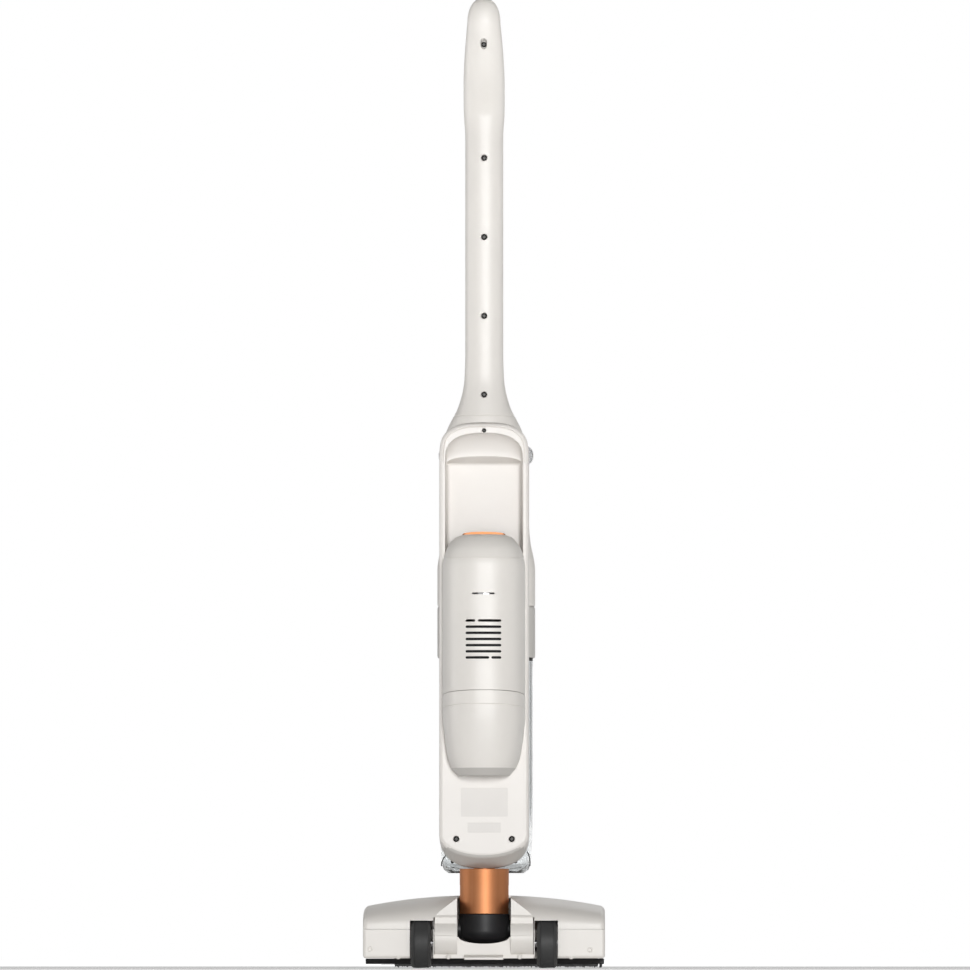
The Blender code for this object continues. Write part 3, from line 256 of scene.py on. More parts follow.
WHITE = moulded("shell_white", (0.80, 0.768, 0.722), (0.775, 0.743, 0.70), (0.42, 0.50), specular=1.0)
PANEL_WHITE = moulded("panel_white", (0.82, 0.785, 0.745), (0.795, 0.76, 0.72), (0.42, 0.50), specular=1.0)
LABEL_WHITE = moulded("label_white", (0.75, 0.72, 0.685), (0.73, 0.70, 0.665), (0.44, 0.52), 500.0, 0.00002,
                      specular=0.9)
GREY = moulded("shell_grey", (0.60, 0.58, 0.55), (0.57, 0.55, 0.52), (0.38, 0.48))
BLACK = moulded("black_plastic", (0.022, 0.022, 0.024), (0.012, 0.012, 0.013), (0.40, 0.50), 900.0, 0.00003,
                specular=0.35)
GLOSS = moulded("gloss_black", (0.012, 0.012, 0.015), (0.007, 0.007, 0.009), (0.05, 0.12), 300.0, 0.000004,
                coat=0.6)
RUBBER = moulded("rubber", (0.036, 0.036, 0.036), (0.022, 0.022, 0.022), (0.50, 0.65), 700.0, 0.00004)
COPPER = brushed("copper", (0.66, 0.30, 0.145), (0.56, 0.22, 0.09), (0.48, 0.58), (6.0, 6.0, 0.12))
STEEL = brushed("steel", (0.62, 0.62, 0.63), (0.42, 0.42, 0.43), (0.22, 0.40), (8.0, 8.0, 0.4))
OXIDE = brushed("black_oxide", (0.085, 0.083, 0.08), (0.03, 0.03, 0.03), (0.35, 0.5), (5.0, 5.0, 5.0), 0.8)
CLEAR = clear_plastic("clear_tank")
PILE = pile_fibre("pile")
FILTER = patterned("filter", "ShaderNodeTexWave", 120.0, (1.0, 1.0, 0.2),
                   ((0.2, (0.55, 0.54, 0.50)), (0.8, (0.86, 0.85, 0.80))), (0.85, 0.95), 0.0006)
FOAM = moulded("carbon_foam", (0.035, 0.035, 0.036), (0.010, 0.010, 0.011), (0.85, 0.97), 420.0, 0.0005)
BOARD = patterned("board", "ShaderNodeTexBrick", 160.0, (1.0, 1.0, 1.0),
                  ((0.1, (0.008, 0.11, 0.045)), (0.9, (0.40, 0.30, 0.10))), (0.30, 0.50), 0.00008)
CELL = patterned("cell_blue", "ShaderNodeTexWave", 26.0, (1.0, 0.0, 0.0),
                 ((0.05, (0.015, 0.03, 0.10)), (0.4, (0.05, 0.15, 0.42))), (0.30, 0.48), 0.0008)


# ---------------------------------------------------------------- mesh building
def new_piece(name, mesh):
    piece = bpy.data.objects.new(name, mesh)
    bpy.context.scene.collection.objects.link(piece)
    return piece


def from_bmesh(name, work):
    bmesh.ops.recalc_face_normals(work, faces=work.faces)
    if work.calc_volume(signed=True) < 0:
        bmesh.ops.reverse_faces(work, faces=work.faces)
    mesh = bpy.data.meshes.new(name)
    work.to_mesh(mesh)
    work.free()
    return new_piece(name, mesh)


def loft(name, rings, closed_rings=True, ends="both"):
    """A skin over rings of equally many points; ends names which of its ends get a flat face."""
    work = bmesh.new()
    rows = [[work.verts.new(point) for point in ring] for ring in rings]
    last = 0 if closed_rings else 1
    for row, following in zip(rows, rows[1:]):
        for i in range(len(row) - last):
            j = (i + 1) % len(row)
            work.faces.new((row[i], row[j], following[j], following[i]))
    if ends in ("both", "first"):
        work.faces.new(rows[0])
    if ends in ("both", "last"):
        work.faces.new(rows[-1])
    return from_bmesh(name, work)


def turned(name, profile, centre=(0.0, 0.0, 0.0), axis="Z", steps=96):
    """A turned piece from (radius, along) points; a profile that starts off the axis is a closed tube."""
    turn = {"Z": Matrix.Identity(3), "X": Matrix(((0, 0, 1), (0, 1, 0), (-1, 0, 0))),
            "Y": Matrix(((1, 0, 0), (0, 0, 1), (0, -1, 0)))}[axis]
    work = bmesh.new()
    rings = []
    for radius, along in profile:
        count = steps if radius > 0 else 1
        ring = []
        for i in range(count):
            angle = 2 * math.pi * i / count
            ring.append(work.verts.new(Vector(centre) + turn @ Vector(
                (radius * math.cos(angle), radius * math.sin(angle), along))))
        rings.append(ring)
    pairs = list(zip(rings, rings[1:]))
    if profile[0][0] > 0:
        pairs.append((rings[-1], rings[0]))
    for first, second in pairs:
        for i in range(steps):
            j = i + 1
            corners = (first[i % len(first)], first[j % len(first)],
                       second[j % len(second)], second[i % len(second)])
            work.faces.new(tuple(dict.fromkeys(corners)))
    return from_bmesh(name, work)


def slab(name, outline, axis, low, high):
    """A flat outline made solid between low and high along an axis.

    The outline holds the other two coordinates in order.
    """
    def point(pair, along):
        first, second = pair
        return {"X": (along, first, second), "Y": (first, along, second), "Z": (first, second, along)}[axis]
    return loft(name, [[point(pair, low) for pair in outline], [point(pair, high) for pair in outline]])


def block(name, low, high):
    outline = [(low[0], low[1]), (high[0], low[1]), (high[0], high[1]), (low[0], high[1])]
    return slab(name, outline, "Z", low[2], high[2])


def rod(name, radius, start, end, steps=48, radius_end=None):
    start, end = Vector(start), Vector(end)
    work = bmesh.new()
    bmesh.ops.create_cone(work, cap_ends=True, segments=steps, radius1=radius,
                          radius2=radius if radius_end is None else radius_end, depth=(end - start).length)
    turn = Vector((0, 0, 1)).rotation_difference(end - start).to_matrix().to_4x4()
    bmesh.ops.transform(work, matrix=Matrix.Translation((start + end) / 2) @ turn, verts=work.verts)
    return from_bmesh(name, work)


def rounded_end(half_width, tip, height, fullness, steps=32):
    """(x, z) points of a panel's rounded end, from its right side over the tip to its left."""
    points = []
    for step in range(steps + 1):
        angle = math.pi * step / steps
        across, up = math.cos(angle), math.sin(angle)
        points.append((half_width * math.copysign(abs(across) ** (2 / fullness), across),
                       tip - height + height * up ** (2 / fullness)))
    return points


def panel_outline(half_width, low, high, foot, top, steps=32, sides=24):
    """(x, z) points of an upright panel; foot and top are each (height, fullness) of an end."""
    upper = rounded_end(half_width, high, top[0], top[1], steps)
    lower = [(-x, -z) for x, z in rounded_end(half_width, -low, foot[0], foot[1], steps)]

    def side(start, end):
        return [(start[0], start[1] + (end[1] - start[1]) * i / sides) for i in range(1, sides)]

    return upper + side(upper[-1], lower[0]) + lower + side(lower[-1], upper[0])


def rounded_box(half_width, low, high, corner, steps=8):
    """(x, z) points of a rectangle with round corners."""
    points = []
    for side, up, start in ((1, 1, 0), (-1, 1, 90), (-1, -1, 180), (1, -1, 270)):
        for step in range(steps + 1):
            angle = math.radians(start + 90 * step / steps)
            points.append((side * (half_width - corner) + corner * math.cos(angle),
                           (high - corner if up > 0 else low + corner) + corner * math.sin(angle)))
    return points


def upright(outline, y):
    return [(x, y, z) for x, z in outline]


def oval_ring(z, half_width, rear, front, fullness=2.6, count=96):
    middle, half_depth = (rear + front) / 2, (front - rear) / 2
    ring = []
    for step in range(count):
        angle = 2 * math.pi * (step + 0.5) / count
        across, along = math.cos(angle), math.sin(angle)
        ring.append((half_width * math.copysign(abs(across) ** (2 / fullness), across),
                     middle + half_depth * math.copysign(abs(along) ** (2 / fullness), along), z))
    return ring


def hull_of_circles(first, second, steps=24):
    """The belt-shaped outline around two circles, each given as (centre, radius)."""
    (start, radius_a), (end, radius_b) = first, second
    run = Vector(end) - Vector(start)
    heading = math.atan2(run.y, run.x)
    lean = math.acos((radius_a - radius_b) / run.length)
    points = []
    for centre, radius, begin, finish in ((end, radius_b, heading - lean, heading + lean),
                                          (start, radius_a, heading + lean, heading + 2 * math.pi - lean)):
        for step in range(steps + 1):
            angle = begin + (finish - begin) * step / steps
            points.append((centre[0] + radius * math.cos(angle), centre[1] + radius * math.sin(angle)))
    return points


def eased(rows, levels):
    """Rows read off at the given levels of their first column, on a curve that never overshoots."""
    steps = [(b[0] - a[0]) for a, b in zip(rows, rows[1:])]
    slopes = [[(b[k] - a[k]) / step for k in range(1, len(a))] for a, b, step in zip(rows, rows[1:], steps)]
    tangents = [slopes[0]]
    for before, after in zip(slopes, slopes[1:]):
        tangents.append([2 * p * q / (p + q) if p * q > 0 else 0.0 for p, q in zip(before, after)])
    tangents.append(slopes[-1])
    result = []
    for level in levels:
        part = next((n for n in range(len(steps)) if level <= rows[n + 1][0] + 1e-9), len(steps) - 1)
        t = (level - rows[part][0]) / steps[part]
        values = [level]
        for k in range(1, len(rows[0])):
            a, b = rows[part][k], rows[part + 1][k]
            m, n = tangents[part][k - 1] * steps[part], tangents[part + 1][k - 1] * steps[part]
            values.append((2 * t ** 3 - 3 * t ** 2 + 1) * a + (t ** 3 - 2 * t ** 2 + t) * m
                          + (3 * t ** 2 - 2 * t ** 3) * b + (t ** 3 - t ** 2) * n)
        result.append(values)
    return result


def levels_between(low, high, count, grooves=()):
    """Even levels with a close set of five round each groove."""
    levels = [low + (high - low) * i / (count - 1) for i in range(count)]
    for groove in grooves:
        levels = [level for level in levels if abs(level - groove) > 1.5 * GROOVE_HALF]
        levels += [groove + GROOVE_HALF * share for share in (-1.0, -0.5, 0.0, 0.5, 1.0)]
    return sorted(levels)


def groove_depth(level, grooves):
    """How deep the surface is let in at a level."""
    return sum(GROOVE_DEPTH * max(0.0, 1 - abs(level - groove) / GROOVE_HALF) for groove in grooves)


def smoothstep(value, low, high):
    t = min(1.0, max(0.0, (value - low) / (high - low)))
    return t * t * (3 - 2 * t)


def baked(piece):
    """Replace the piece's mesh by what its modifiers make of it."""
    graph = bpy.context.evaluated_depsgraph_get()
    mesh = bpy.data.meshes.new_from_object(piece.evaluated_get(graph))
    piece.modifiers.clear()
    piece.data = mesh
    return piece


def combine(piece, others, operation, solver="EXACT"):
    for other in others:
        modifier = piece.modifiers.new("combine", "BOOLEAN")
        modifier.operation = operation
        modifier.solver = solver
        modifier.object = other
    baked(piece)
    for other in others:
        bpy.data.objects.remove(other, do_unlink=True)
    return piece


def cut(piece, *others, solver="EXACT"):
    return combine(piece, others, "DIFFERENCE", solver)


def join(piece, *others):
    return combine(piece, others, "UNION")


def rounded(piece, width, segments=3, degrees=35):
    """Soften the piece's sharp edges."""
    modifier = piece.modifiers.new("edges", "BEVEL")
    modifier.width = width
    modifier.segments = segments
    modifier.limit_method = "ANGLE"
    modifier.angle_limit = math.radians(degrees)
    modifier.use_clamp_overlap = True
    return baked(piece)


def thickened(piece, wall=WALL):
    """Give an open skin a wall inwards."""
    modifier = piece.modifiers.new("wall", "SOLIDIFY")
    modifier.thickness = wall
    modifier.offset = -1.0
    modifier.use_even_offset = False
    return baked(piece)


def placed(piece, body, material, slot, *nodes, sharp=40):
    """Shade the piece, give it its finish and its body, and let it stand for its CAD nodes."""
    piece.data.materials.clear()
    piece.data.materials.append(material)
    piece.data.shade_smooth()
    piece.data.set_sharp_from_angle(angle=math.radians(sharp))
    normals = piece.modifiers.new("normals", "WEIGHTED_NORMAL")
    normals.keep_sharp = True
    piece.data.transform(Matrix.Translation((0, AXIS_Y, 0)))
    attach(piece, body)
    if nodes:
        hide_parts(*nodes)
    return piece


# ---------------------------------------------------------------- pole and grip
POLE_PROFILE = (  # level, half width, rear y, front y
    (0.5880, 0.0497, -0.0343, SPINE_FRONT), (0.6000, 0.0462, -0.0343, SPINE_FRONT),
    (0.6112, 0.0425, -0.0340, 0.0332), (0.6226, 0.0370, -0.0326, 0.0300), (0.6340, 0.0309, -0.0305, 0.0258),
    (0.6454, 0.0270, -0.0280, 0.0220), (0.6567, 0.0242, -0.0257, 0.0190), (0.6680, 0.0226, -0.0240, 0.0168),
    (0.7000, 0.0216, -0.0230, 0.0150), (0.9450, 0.0216, -0.0230, 0.0150), (0.9680, 0.0230, -0.0236, 0.0139),
    (0.9770, 0.0233, -0.0270, 0.0122), (0.9900, 0.0234, -0.0342, 0.0090), (1.0040, 0.0234, -0.0414, 0.0036),
    (1.0200, 0.0229, -0.0470, -0.0042), (1.0400, 0.0217, -0.0524, -0.0150),
    (1.0540, 0.0205, -0.0560, -0.0225),
    (1.0725, 0.0188, -0.0595, -0.0300))
POLE_FULLNESS = 2.3
FLARE_GROOVE = 0.6270
TIP_MIDDLE_SHIFT = -0.0018
HALF_STEPS = 48
TIP_STEPS = 14
HOLE_R = 0.0036


def pole_rows():
    """Rows up the pole, then rows that close the tip like half an egg."""
    rows = eased(POLE_PROFILE, levels_between(POLE_PROFILE[0][0], POLE_PROFILE[-1][0], 110, (FLARE_GROOVE,)))
    base, half_width, rear, front = POLE_PROFILE[-1]
    for step in range(1, TIP_STEPS + 1):
        angle = math.radians(89.0 * step / TIP_STEPS)
        share = math.cos(angle) ** 0.8
        middle = (rear + front) / 2 + TIP_MIDDLE_SHIFT * math.sin(angle)
        depth = (front - rear) / 2 * share
        rows.append((base + (HEIGHT - base) * math.sin(angle) / math.sin(math.radians(89.0)),
                     half_width * share, middle - depth, middle + depth))
    return rows


def half_section(row, side):
    """C-shaped ring: the rear (side -1) or front (side 1) wall of the pole at a level."""
    level, half_width, rear, front = row
    let_in = groove_depth(level, (FLARE_GROOVE,))
    half_width, rear, front = half_width - let_in, rear + let_in, front - let_in
    middle, depth = (rear + front) / 2, (front - rear) / 2
    wall = min(WALL, 0.7 * half_width, 0.7 * depth)
    ring = []
    for inset, order in ((0.0, range(HALF_STEPS + 1)), (wall, range(HALF_STEPS, -1, -1))):
        for step in order:
            angle = math.pi * step / HALF_STEPS
            across, along = math.cos(angle), math.sin(angle)
            ring.append(((half_width - inset) * math.copysign(abs(across) ** (2 / POLE_FULLNESS), across),
                         middle + side * (SEAM / 2 + (depth - inset) * along ** (2 / POLE_FULLNESS)), level))
    return ring


def pole_faces(level):
    return eased(POLE_PROFILE, (level,))[0][2:]


def frame_outline(inset, raised=0.0, foot=(0.0387, 2.5)):
    return panel_outline(FRAME_HALF - inset, FRAME_LOW + inset + raised, FRAME_HIGH - inset,
                         (foot[0] - inset, foot[1]), (0.0400 - inset, 3.0), sides=80)


def screw_hole(name, x, z, surface, depth, radius=HOLE_R):
    """Cutter for a hole from the back with a small chamfer at its mouth."""
    chamfer = 0.0006
    profile = [(0.0, surface + depth), (radius, surface + depth), (radius, surface + chamfer),
               (radius + chamfer, surface), (radius + chamfer, surface - 0.02), (0.0, surface - 0.02)]
    return turned(name, profile, (x, 0, z), "Y", 40)


def screw_socket(name, x, z, start, depth, radius=HOLE_R):
    """The moulded well behind a screw hole."""
    wall = 0.0014
    profile = [(0.0, start + depth), (radius, start + depth), (radius, start), (radius + wall, start),
               (radius + wall, start + depth + wall), (0.0, start + depth + wall)]
    return turned(name, profile, (x, 0, z), "Y", 40)


def make_screw(node):
    """A screw with a domed head and a cross recess, in its CAD node's place."""
    low, high = extent(node)
    x, z = (low.x + high.x) / 2, (low.z + high.z) / 2
    radius = (high.x - low.x) / 2 - 0.0001
    top, end = low.y, high.y
    shank = radius * 0.45
    profile = [(0.0, top), (shank, top + 0.00012), (radius * 0.80, top + 0.0005),
               (radius, top + 0.0011), (radius, top + 0.0022), (shank, top + 0.0022),
               (shank, end - 0.001), (0.0, end)]
    screw = turned(node + "_detail", profile, (x, 0, z), "Y", 40)
    arm, slot_half, recess = radius * 0.62, radius * 0.16, 0.0011
    cut(screw,
        block("recess_a", (x - arm, top - 0.001, z - slot_half), (x + arm, top + recess, z + slot_half)),
        block("recess_b", (x - slot_half, top - 0.001, z - arm), (x + slot_half, top + recess, z + arm)))
    placed(screw, "upright", OXIDE, "black_oxide", node)


def make_pole():
    rows = pole_rows()
    rear = loft("pole_rear_skin", [half_section(row, -1) for row in rows])
    front = loft("pole_front_skin", [half_section(row, 1) for row in rows])
    for shell in (rear, front):
        cut(shell, slab("frame_room", frame_outline(-SEAM), "Y", -0.08, 0.06))
    holes, sockets = [], []
    for index in range(1, 5):
        low, high = extent(f"pole_screw_{index}")
        level = (low.z + high.z) / 2
        surface = pole_faces(level)[0]
        holes.append(screw_hole(f"hole_{index}", 0.0, level, surface, 0.006))
        sockets.append(screw_socket(f"pole_socket_{index}", 0.0, level, surface + WALL, 0.0035))
    low, high = extent("grip_screw")
    level = (low.z + high.z) / 2
    surface = pole_faces(level)[0]
    opening = panel_outline(0.0034, -0.0057, 0.0057, (0.0054, 2.2), (0.0054, 2.2), 16, 2)
    mouth = [(x, z + level) for x, z in opening]
    bottom = [(x * 0.8, level + (z - level) * 0.8) for x, z in mouth]
    wide = [(x * 1.25, level + (z - level) * 1.16) for x, z in mouth]
    holes.append(loft("grip_hole", [upright(wide, surface - 0.012), upright(wide, surface - 0.0010),
                                    upright(mouth, surface + 0.0016), upright(bottom, surface + 0.009)]))
    rim = [(x * 1.5, level + (z - level) * 1.3) for x, z in mouth]
    socket = loft("grip_socket", [upright(rim, surface + 0.0030), upright(rim, surface + 0.0105)])
    grip_well = loft("grip_well", [upright(mouth, surface), upright(bottom, surface + 0.0085)])
    sockets.append(cut(socket, grip_well))
    cut(rear, *holes)
    placed(rear, "upright", WHITE, "shell_white", "pole_rear_shell")
    # The wells behind the holes take the grey finish as painted shade, darkening the inside of each hole.
    for socket in sockets:
        placed(socket, "upright", GREY, "shell_grey")
    buttons = [("power_button", 0.0085), ("mode_button", 0.0070)]
    for node, radius in buttons:
        make_button(node, radius, front)
    placed(front, "upright", WHITE, "shell_white", "pole_front_shell")


def make_button(node, radius, shell):
    """A round key with a dished face, in a chamfered hole of the front shell."""
    low, high = extent(node)
    level, face = (low.z + high.z) / 2, high.y
    hole = [(0.0, face - 0.02), (radius + SEAM, face - 0.02), (radius + SEAM, face - 0.001),
            (radius + 0.0012, face + 0.0002), (radius + 0.0012, face + 0.02), (0.0, face + 0.02)]
    cut(shell, turned("key_hole", hole, (0, 0, level), "Y", 64))
    profile = [(0.0, face - 0.0006), (radius * 0.55, face - 0.00045), (radius * 0.78, face - 0.0001),
               (radius - 0.0007, face), (radius - 0.0002, face - 0.0003), (radius, face - 0.0009),
               (radius, low.y), (0.0, low.y)]
    key = turned(node + "_key", profile, (0, 0, level), "Y", 64)
    placed(key, node + "_body", GREY, "shell_grey", node)


# ---------------------------------------------------------------- body frame
PANEL_INSET = 0.0040      # rounding between the frame's side and its rear face
PANEL_ROUND = 0.0045
RIM_GROOVE = (0.0046, 0.0010)      # inset and depth of the parting line round the frame's top
RIM_GROOVE_END = 0.5770
POCKET_HALF = 0.0438
POCKET_LOW = 0.236
POCKET_HIGH = 0.6065
POCKET_FOOT = (0.0350, 2.2)
POCKET_TOP = (0.0296, 2.6)
LIP_Y, LIP_Z = -0.016, 0.5810
LIP_TOP = (0.0080, 2.4)
CEILING_Z = LIP_Z - 0.0068
SCOOP_STEPS = 14
NECK_SPIGOT = 0.0120
LABELS = (  # name, left, right, low, high
    ("label_plate_large", -0.0260, 0.0270, 0.1715, 0.2041),
    ("label_plate_small", -0.0186, 0.0190, 0.1533, 0.1647))


def between(first, second, share):
    return [(a[0] + (b[0] - a[0]) * share, a[1] + (b[1] - a[1]) * share) for a, b in zip(first, second)]


def frame_loops():
    """Loops from the frame's front edge round its side, over the rear face and down into the pocket."""
    loops = [upright(frame_outline(0.0), FRAME_FRONT - step * 0.006) for step in range(8)]
    fillet_start = FRAME_REAR + PANEL_ROUND
    band_start = -0.012
    raised_end = 0.0105
    for step in range(1, 9):
        share = step / 8
        foot = (0.0387 + (0.0270 - 0.0387) * share, 2.5 + (2.1 - 2.5) * share)
        loops.append(upright(frame_outline(0.0, raised_end * share, foot),
                             band_start + (fillet_start - band_start) * share))
    for step in range(1, 9):
        angle = math.radians(90 * step / 8)
        inset = PANEL_INSET * (1 - math.cos(angle))
        share = step / 8
        foot = (0.0270 - 0.0020 * share, 2.1 - 0.1 * share)
        loops.append(upright(frame_outline(inset, raised_end + 0.0025 * share, foot),
                             fillet_start - PANEL_ROUND * math.sin(angle)))
    middle, depth = RIM_GROOVE
    for offset, part in ((-0.0006, 0.0), (-0.0003, 0.8), (0.0, 1.0), (0.0003, 0.8), (0.0006, 0.0)):
        loop = frame_outline(middle + offset, 0.0130, (0.0250, 2.0))
        loops.append([(x, FRAME_REAR + depth * part
                       * smoothstep(z, RIM_GROOVE_END - 0.002, RIM_GROOVE_END), z) for x, z in loop])
    edge = panel_outline(POCKET_HALF, POCKET_LOW, POCKET_HIGH, POCKET_FOOT, POCKET_TOP, sides=80)
    lip = panel_outline(POCKET_HALF - 0.0015, POCKET_LOW, LIP_Z, POCKET_FOOT, LIP_TOP, sides=80)
    wide = panel_outline(POCKET_HALF + 0.0009, POCKET_LOW - 0.001, POCKET_HIGH + 0.0009,
                         POCKET_FOOT, POCKET_TOP, sides=80)
    loops.append(upright(wide, FRAME_REAR))
    loops.append(upright(between(wide, edge, 0.6), FRAME_REAR + 0.0002))
    start = FRAME_REAR + 0.0009
    for step in range(SCOOP_STEPS + 1):
        angle = math.radians(90 * step / SCOOP_STEPS)
        y = start + (LIP_Y - start) * math.sin(angle)
        loops.append(upright(between(edge, lip, 1 - math.cos(angle)), y))
    ceiling = panel_outline(POCKET_HALF - 0.0015, POCKET_LOW, CEILING_Z, POCKET_FOOT, (0.0014, 6.0), sides=80)
    loops.append(upright(between(lip, ceiling, -0.06), LIP_Y + 0.0006))
    for step in range(1, 6):
        share = step / 5
        y = LIP_Y + 0.0006 + (-0.0030 - LIP_Y) * share
        loops.append(upright(between(lip, ceiling, share ** 0.8), y))
    for inset, y in ((0.0006, -0.0010), (0.0018, -0.0002), (0.0036, 0.0), (0.0080, 0.0)):
        foot = (POCKET_FOOT[0] - inset, POCKET_FOOT[1])
        floor = panel_outline(POCKET_HALF - 0.0015 - inset, POCKET_LOW + inset, CEILING_Z - inset,
                              foot, (0.0014, 6.0), sides=80)
        loops.append(upright(floor, y))
    return loops


SPINE_PORT_R = 0.0120
SPINE_PORT_Z = 0.330


def make_frame():
    body = loft("frame_shell", frame_loops(), ends="last")
    thickened(body)
    neck_top = extent("neck_tube")[1].z
    holes = [rod("neck_room", NECK_SPIGOT + SEAM, (0, 0, FRAME_LOW - 0.01), (0, 0, neck_top + SEAM), 96)]
    for node in ("rim_screw", "panel_screw_left", "panel_screw_right"):
        low, high = extent(node)
        x, z, radius = (low.x + high.x) / 2, (low.z + high.z) / 2, (high.x - low.x) / 2 + 0.0003
        holes.append(screw_hole("hole_" + node, x, z, FRAME_REAR, 0.006, radius))
        socket = screw_socket("socket_" + node, x, z, FRAME_REAR + WALL, 0.0030, radius)
        # The well takes the grey finish as painted shade, darkening the inside of the hole.
        placed(socket, "upright", GREY, "shell_grey")
    cut(body, *holes, solver="MANIFOLD")
    placed(body, "upright", PANEL_WHITE, "shell_white", "body_frame", sharp=32)
    # Painted shade: the frame's downward-facing lower band takes the grey finish to darken it.
    paint_underside_shade(body, FRAME_LOW + 0.0235, -0.26)
    for name, left, right, low_z, high_z in LABELS:
        middle = (left + right) / 2
        outline = [(x + middle, z) for x, z in rounded_box((right - left) / 2, low_z, high_z, 0.0008)]
        plate = slab(name, outline, "Y", FRAME_REAR - 0.00018, FRAME_REAR + 0.0002)
        placed(rounded(plate, 0.00012, 2), "upright", LABEL_WHITE, "shell_white")
    spine = slab("spine_cover", frame_outline(0.0005), "Y", FRAME_FRONT + SEAM, SPINE_FRONT)
    cut(spine, rod("suction_port", SPINE_PORT_R, (0, 0.02, SPINE_PORT_Z), (0, 0.05, SPINE_PORT_Z), 64))
    placed(rounded(spine, 0.0006), "upright", GREY, "shell_grey", "front_spine")


# ---------------------------------------------------------------- rear pod
POD_DEPTH = FRAME_REAR - SEAM - POD_REAR
POD_PROFILE = (  # level, half width, depth behind the frame
    (pod_low, 0.0290, 0.0440), (0.2262, 0.0365, 0.0535), (0.2370, 0.0407, 0.0562), (0.2665, 0.0452, 0.0610),
    (0.2910, POD_HALF, POD_DEPTH), (0.4550, POD_HALF, POD_DEPTH), (0.4730, 0.0428, 0.0590),
    (0.4835, 0.0362, 0.0520), (0.4890, 0.0300, 0.0440), (pod_high, 0.0240, 0.0360))
POD_RIM = POD_PROFILE[1][0]
POD_SEAM = 0.3139
POD_LOW_GROOVE = 0.2985
POD_TOP_GROOVE = 0.4636
SEAM_SLOPE = math.tan(math.radians(6.0))
POD_FULLNESS = 2.5
POD_STEPS = 72
GRILLE_HALF, GRILLE_TOP, GRILLE_PITCH, GRILLE_SLOT, GRILLE_ROWS = 0.0202, 0.3921, 0.00695, 0.0029, 7
SINGLE_SLOT = (0.4228, 0.0128, 0.0020)


def pod_section(level, half_width, depth, tilt, let_in=0.0):
    """C-shaped ring of the pod's wall; where tilt is 1 it slopes like the main seam."""
    front = FRAME_REAR - SEAM
    wall = min(WALL, 0.4 * half_width)
    ring = []
    for inset, order in ((let_in, range(POD_STEPS + 1)), (wall, range(POD_STEPS, -1, -1))):
        for step in order:
            angle = math.pi * step / POD_STEPS
            across, back = math.cos(angle), math.sin(angle)
            y = front - (depth - inset) * back ** (2 / POD_FULLNESS)
            sloped = level - tilt * SEAM_SLOPE * (y - POD_REAR)
            x = (half_width - inset) * math.copysign(abs(across) ** (2 / POD_FULLNESS), across)
            ring.append((x, y, sloped))
    return ring


def pod_skin(name, low, high, grooves):
    rings = []
    levels = [level for level in levels_between(low, high, 60, grooves) if level > POD_RIM]
    rows = eased(POD_PROFILE[1:], levels)
    if low < POD_RIM:
        under, rim = POD_PROFILE[:2]
        shares = (0.0, 0.03, 0.5, 0.97, 1.0)
        rows = [[a + (b - a) * share for a, b in zip(under, rim)] for share in shares] + rows
    for row in rows:
        level = row[0]
        tilt = smoothstep(level, 0.2700, 0.2900) * (1 - smoothstep(level, 0.3700, 0.4400))
        rings.append(pod_section(*row, tilt, groove_depth(level, grooves)))
    return loft(name, rings)


def slot_cutter(left, right, level, height):
    middle = (left + right) / 2
    low, high = level - height / 2, level + height / 2
    outline = [(x + middle, z) for x, z in rounded_box((right - left) / 2, low, high, height * 0.499, 6)]
    return slab("slot", outline, "Y", POD_REAR - 0.01, POD_REAR + 0.02)


def paint_underside_shade(piece, below, facing):
    """Faces that look down below a level take the grey finish as painted shade: the underside is darkened for
    the light that does not reach it.
    """
    piece.data.materials.append(GREY)
    for face in piece.data.polygons:
        if face.center.z < below and face.normal.z < facing:
            face.material_index = 1


def make_pod():
    upper = pod_skin("pod_upper_skin", POD_SEAM + SEAM, pod_high, (POD_TOP_GROOVE,))
    lower = pod_skin("pod_lower_skin", pod_low, POD_SEAM - SEAM, (POD_LOW_GROOVE,))
    level, half, height = SINGLE_SLOT
    slots = [slot_cutter(-half, half, level, height)]
    spans = {0: ((-GRILLE_HALF, -0.0092), (-0.0063, GRILLE_HALF)),
             GRILLE_ROWS - 1: ((-GRILLE_HALF, 0.0066), (0.0090, GRILLE_HALF))}
    for row in range(GRILLE_ROWS):
        for left, right in spans.get(row, ((-GRILLE_HALF, GRILLE_HALF),)):
            slots.append(slot_cutter(left, right, GRILLE_TOP - row * GRILLE_PITCH, GRILLE_SLOT))
    caps = [pod_cap("pod_roof", pod_high - WALL, pod_high), pod_cap("pod_floor", pod_low, pod_low + WALL)]
    join(upper, caps[0])
    join(lower, caps[1])
    cut(upper, *slots)
    cut(lower, rod("drain", 0.0012, (0, -0.066, pod_low - 0.01), (0, -0.066, pod_low + 0.02), 24))
    placed(upper, "pod", WHITE, "shell_white", "pod_upper_shell", sharp=38)
    placed(lower, "pod", WHITE, "shell_white", "pod_lower_shell", sharp=38)
    # Painted shade: the downward-facing underside of the pod takes the grey finish to darken it.
    paint_underside_shade(lower, POD_RIM, -0.3)
    outline = panel_outline(0.0415, 0.2400, 0.4780, (0.0340, 2.2), (0.0180, 2.2))
    plate = slab("pod_plate", outline, "Y", FRAME_REAR + SEAM, FRAME_REAR + 0.0025)
    cut(plate, rod("plate_port", 0.0140, (0, -0.05, 0.4350), (0, 0.0, 0.4350), 64))
    placed(rounded(plate, 0.0007), "pod", GREY, "shell_grey", "pod_back_plate")
    low, high = extent("pod_release")
    rings = []
    for y, share in ((low.y, 0.90), (low.y + 0.0010, 0.98), (high.y - 0.001, 1.0), (high.y, 0.98)):
        crown = (high.z - low.z - 0.0003, 2.2)
        outline = panel_outline(high.x * share, low.z, high.z, (0.0002, 4.0), crown, 32, 2)
        rings.append(upright(outline, y))
    placed(rounded(loft("release_key", rings), 0.0004), "pod_release_body", COPPER, "copper", "pod_release")


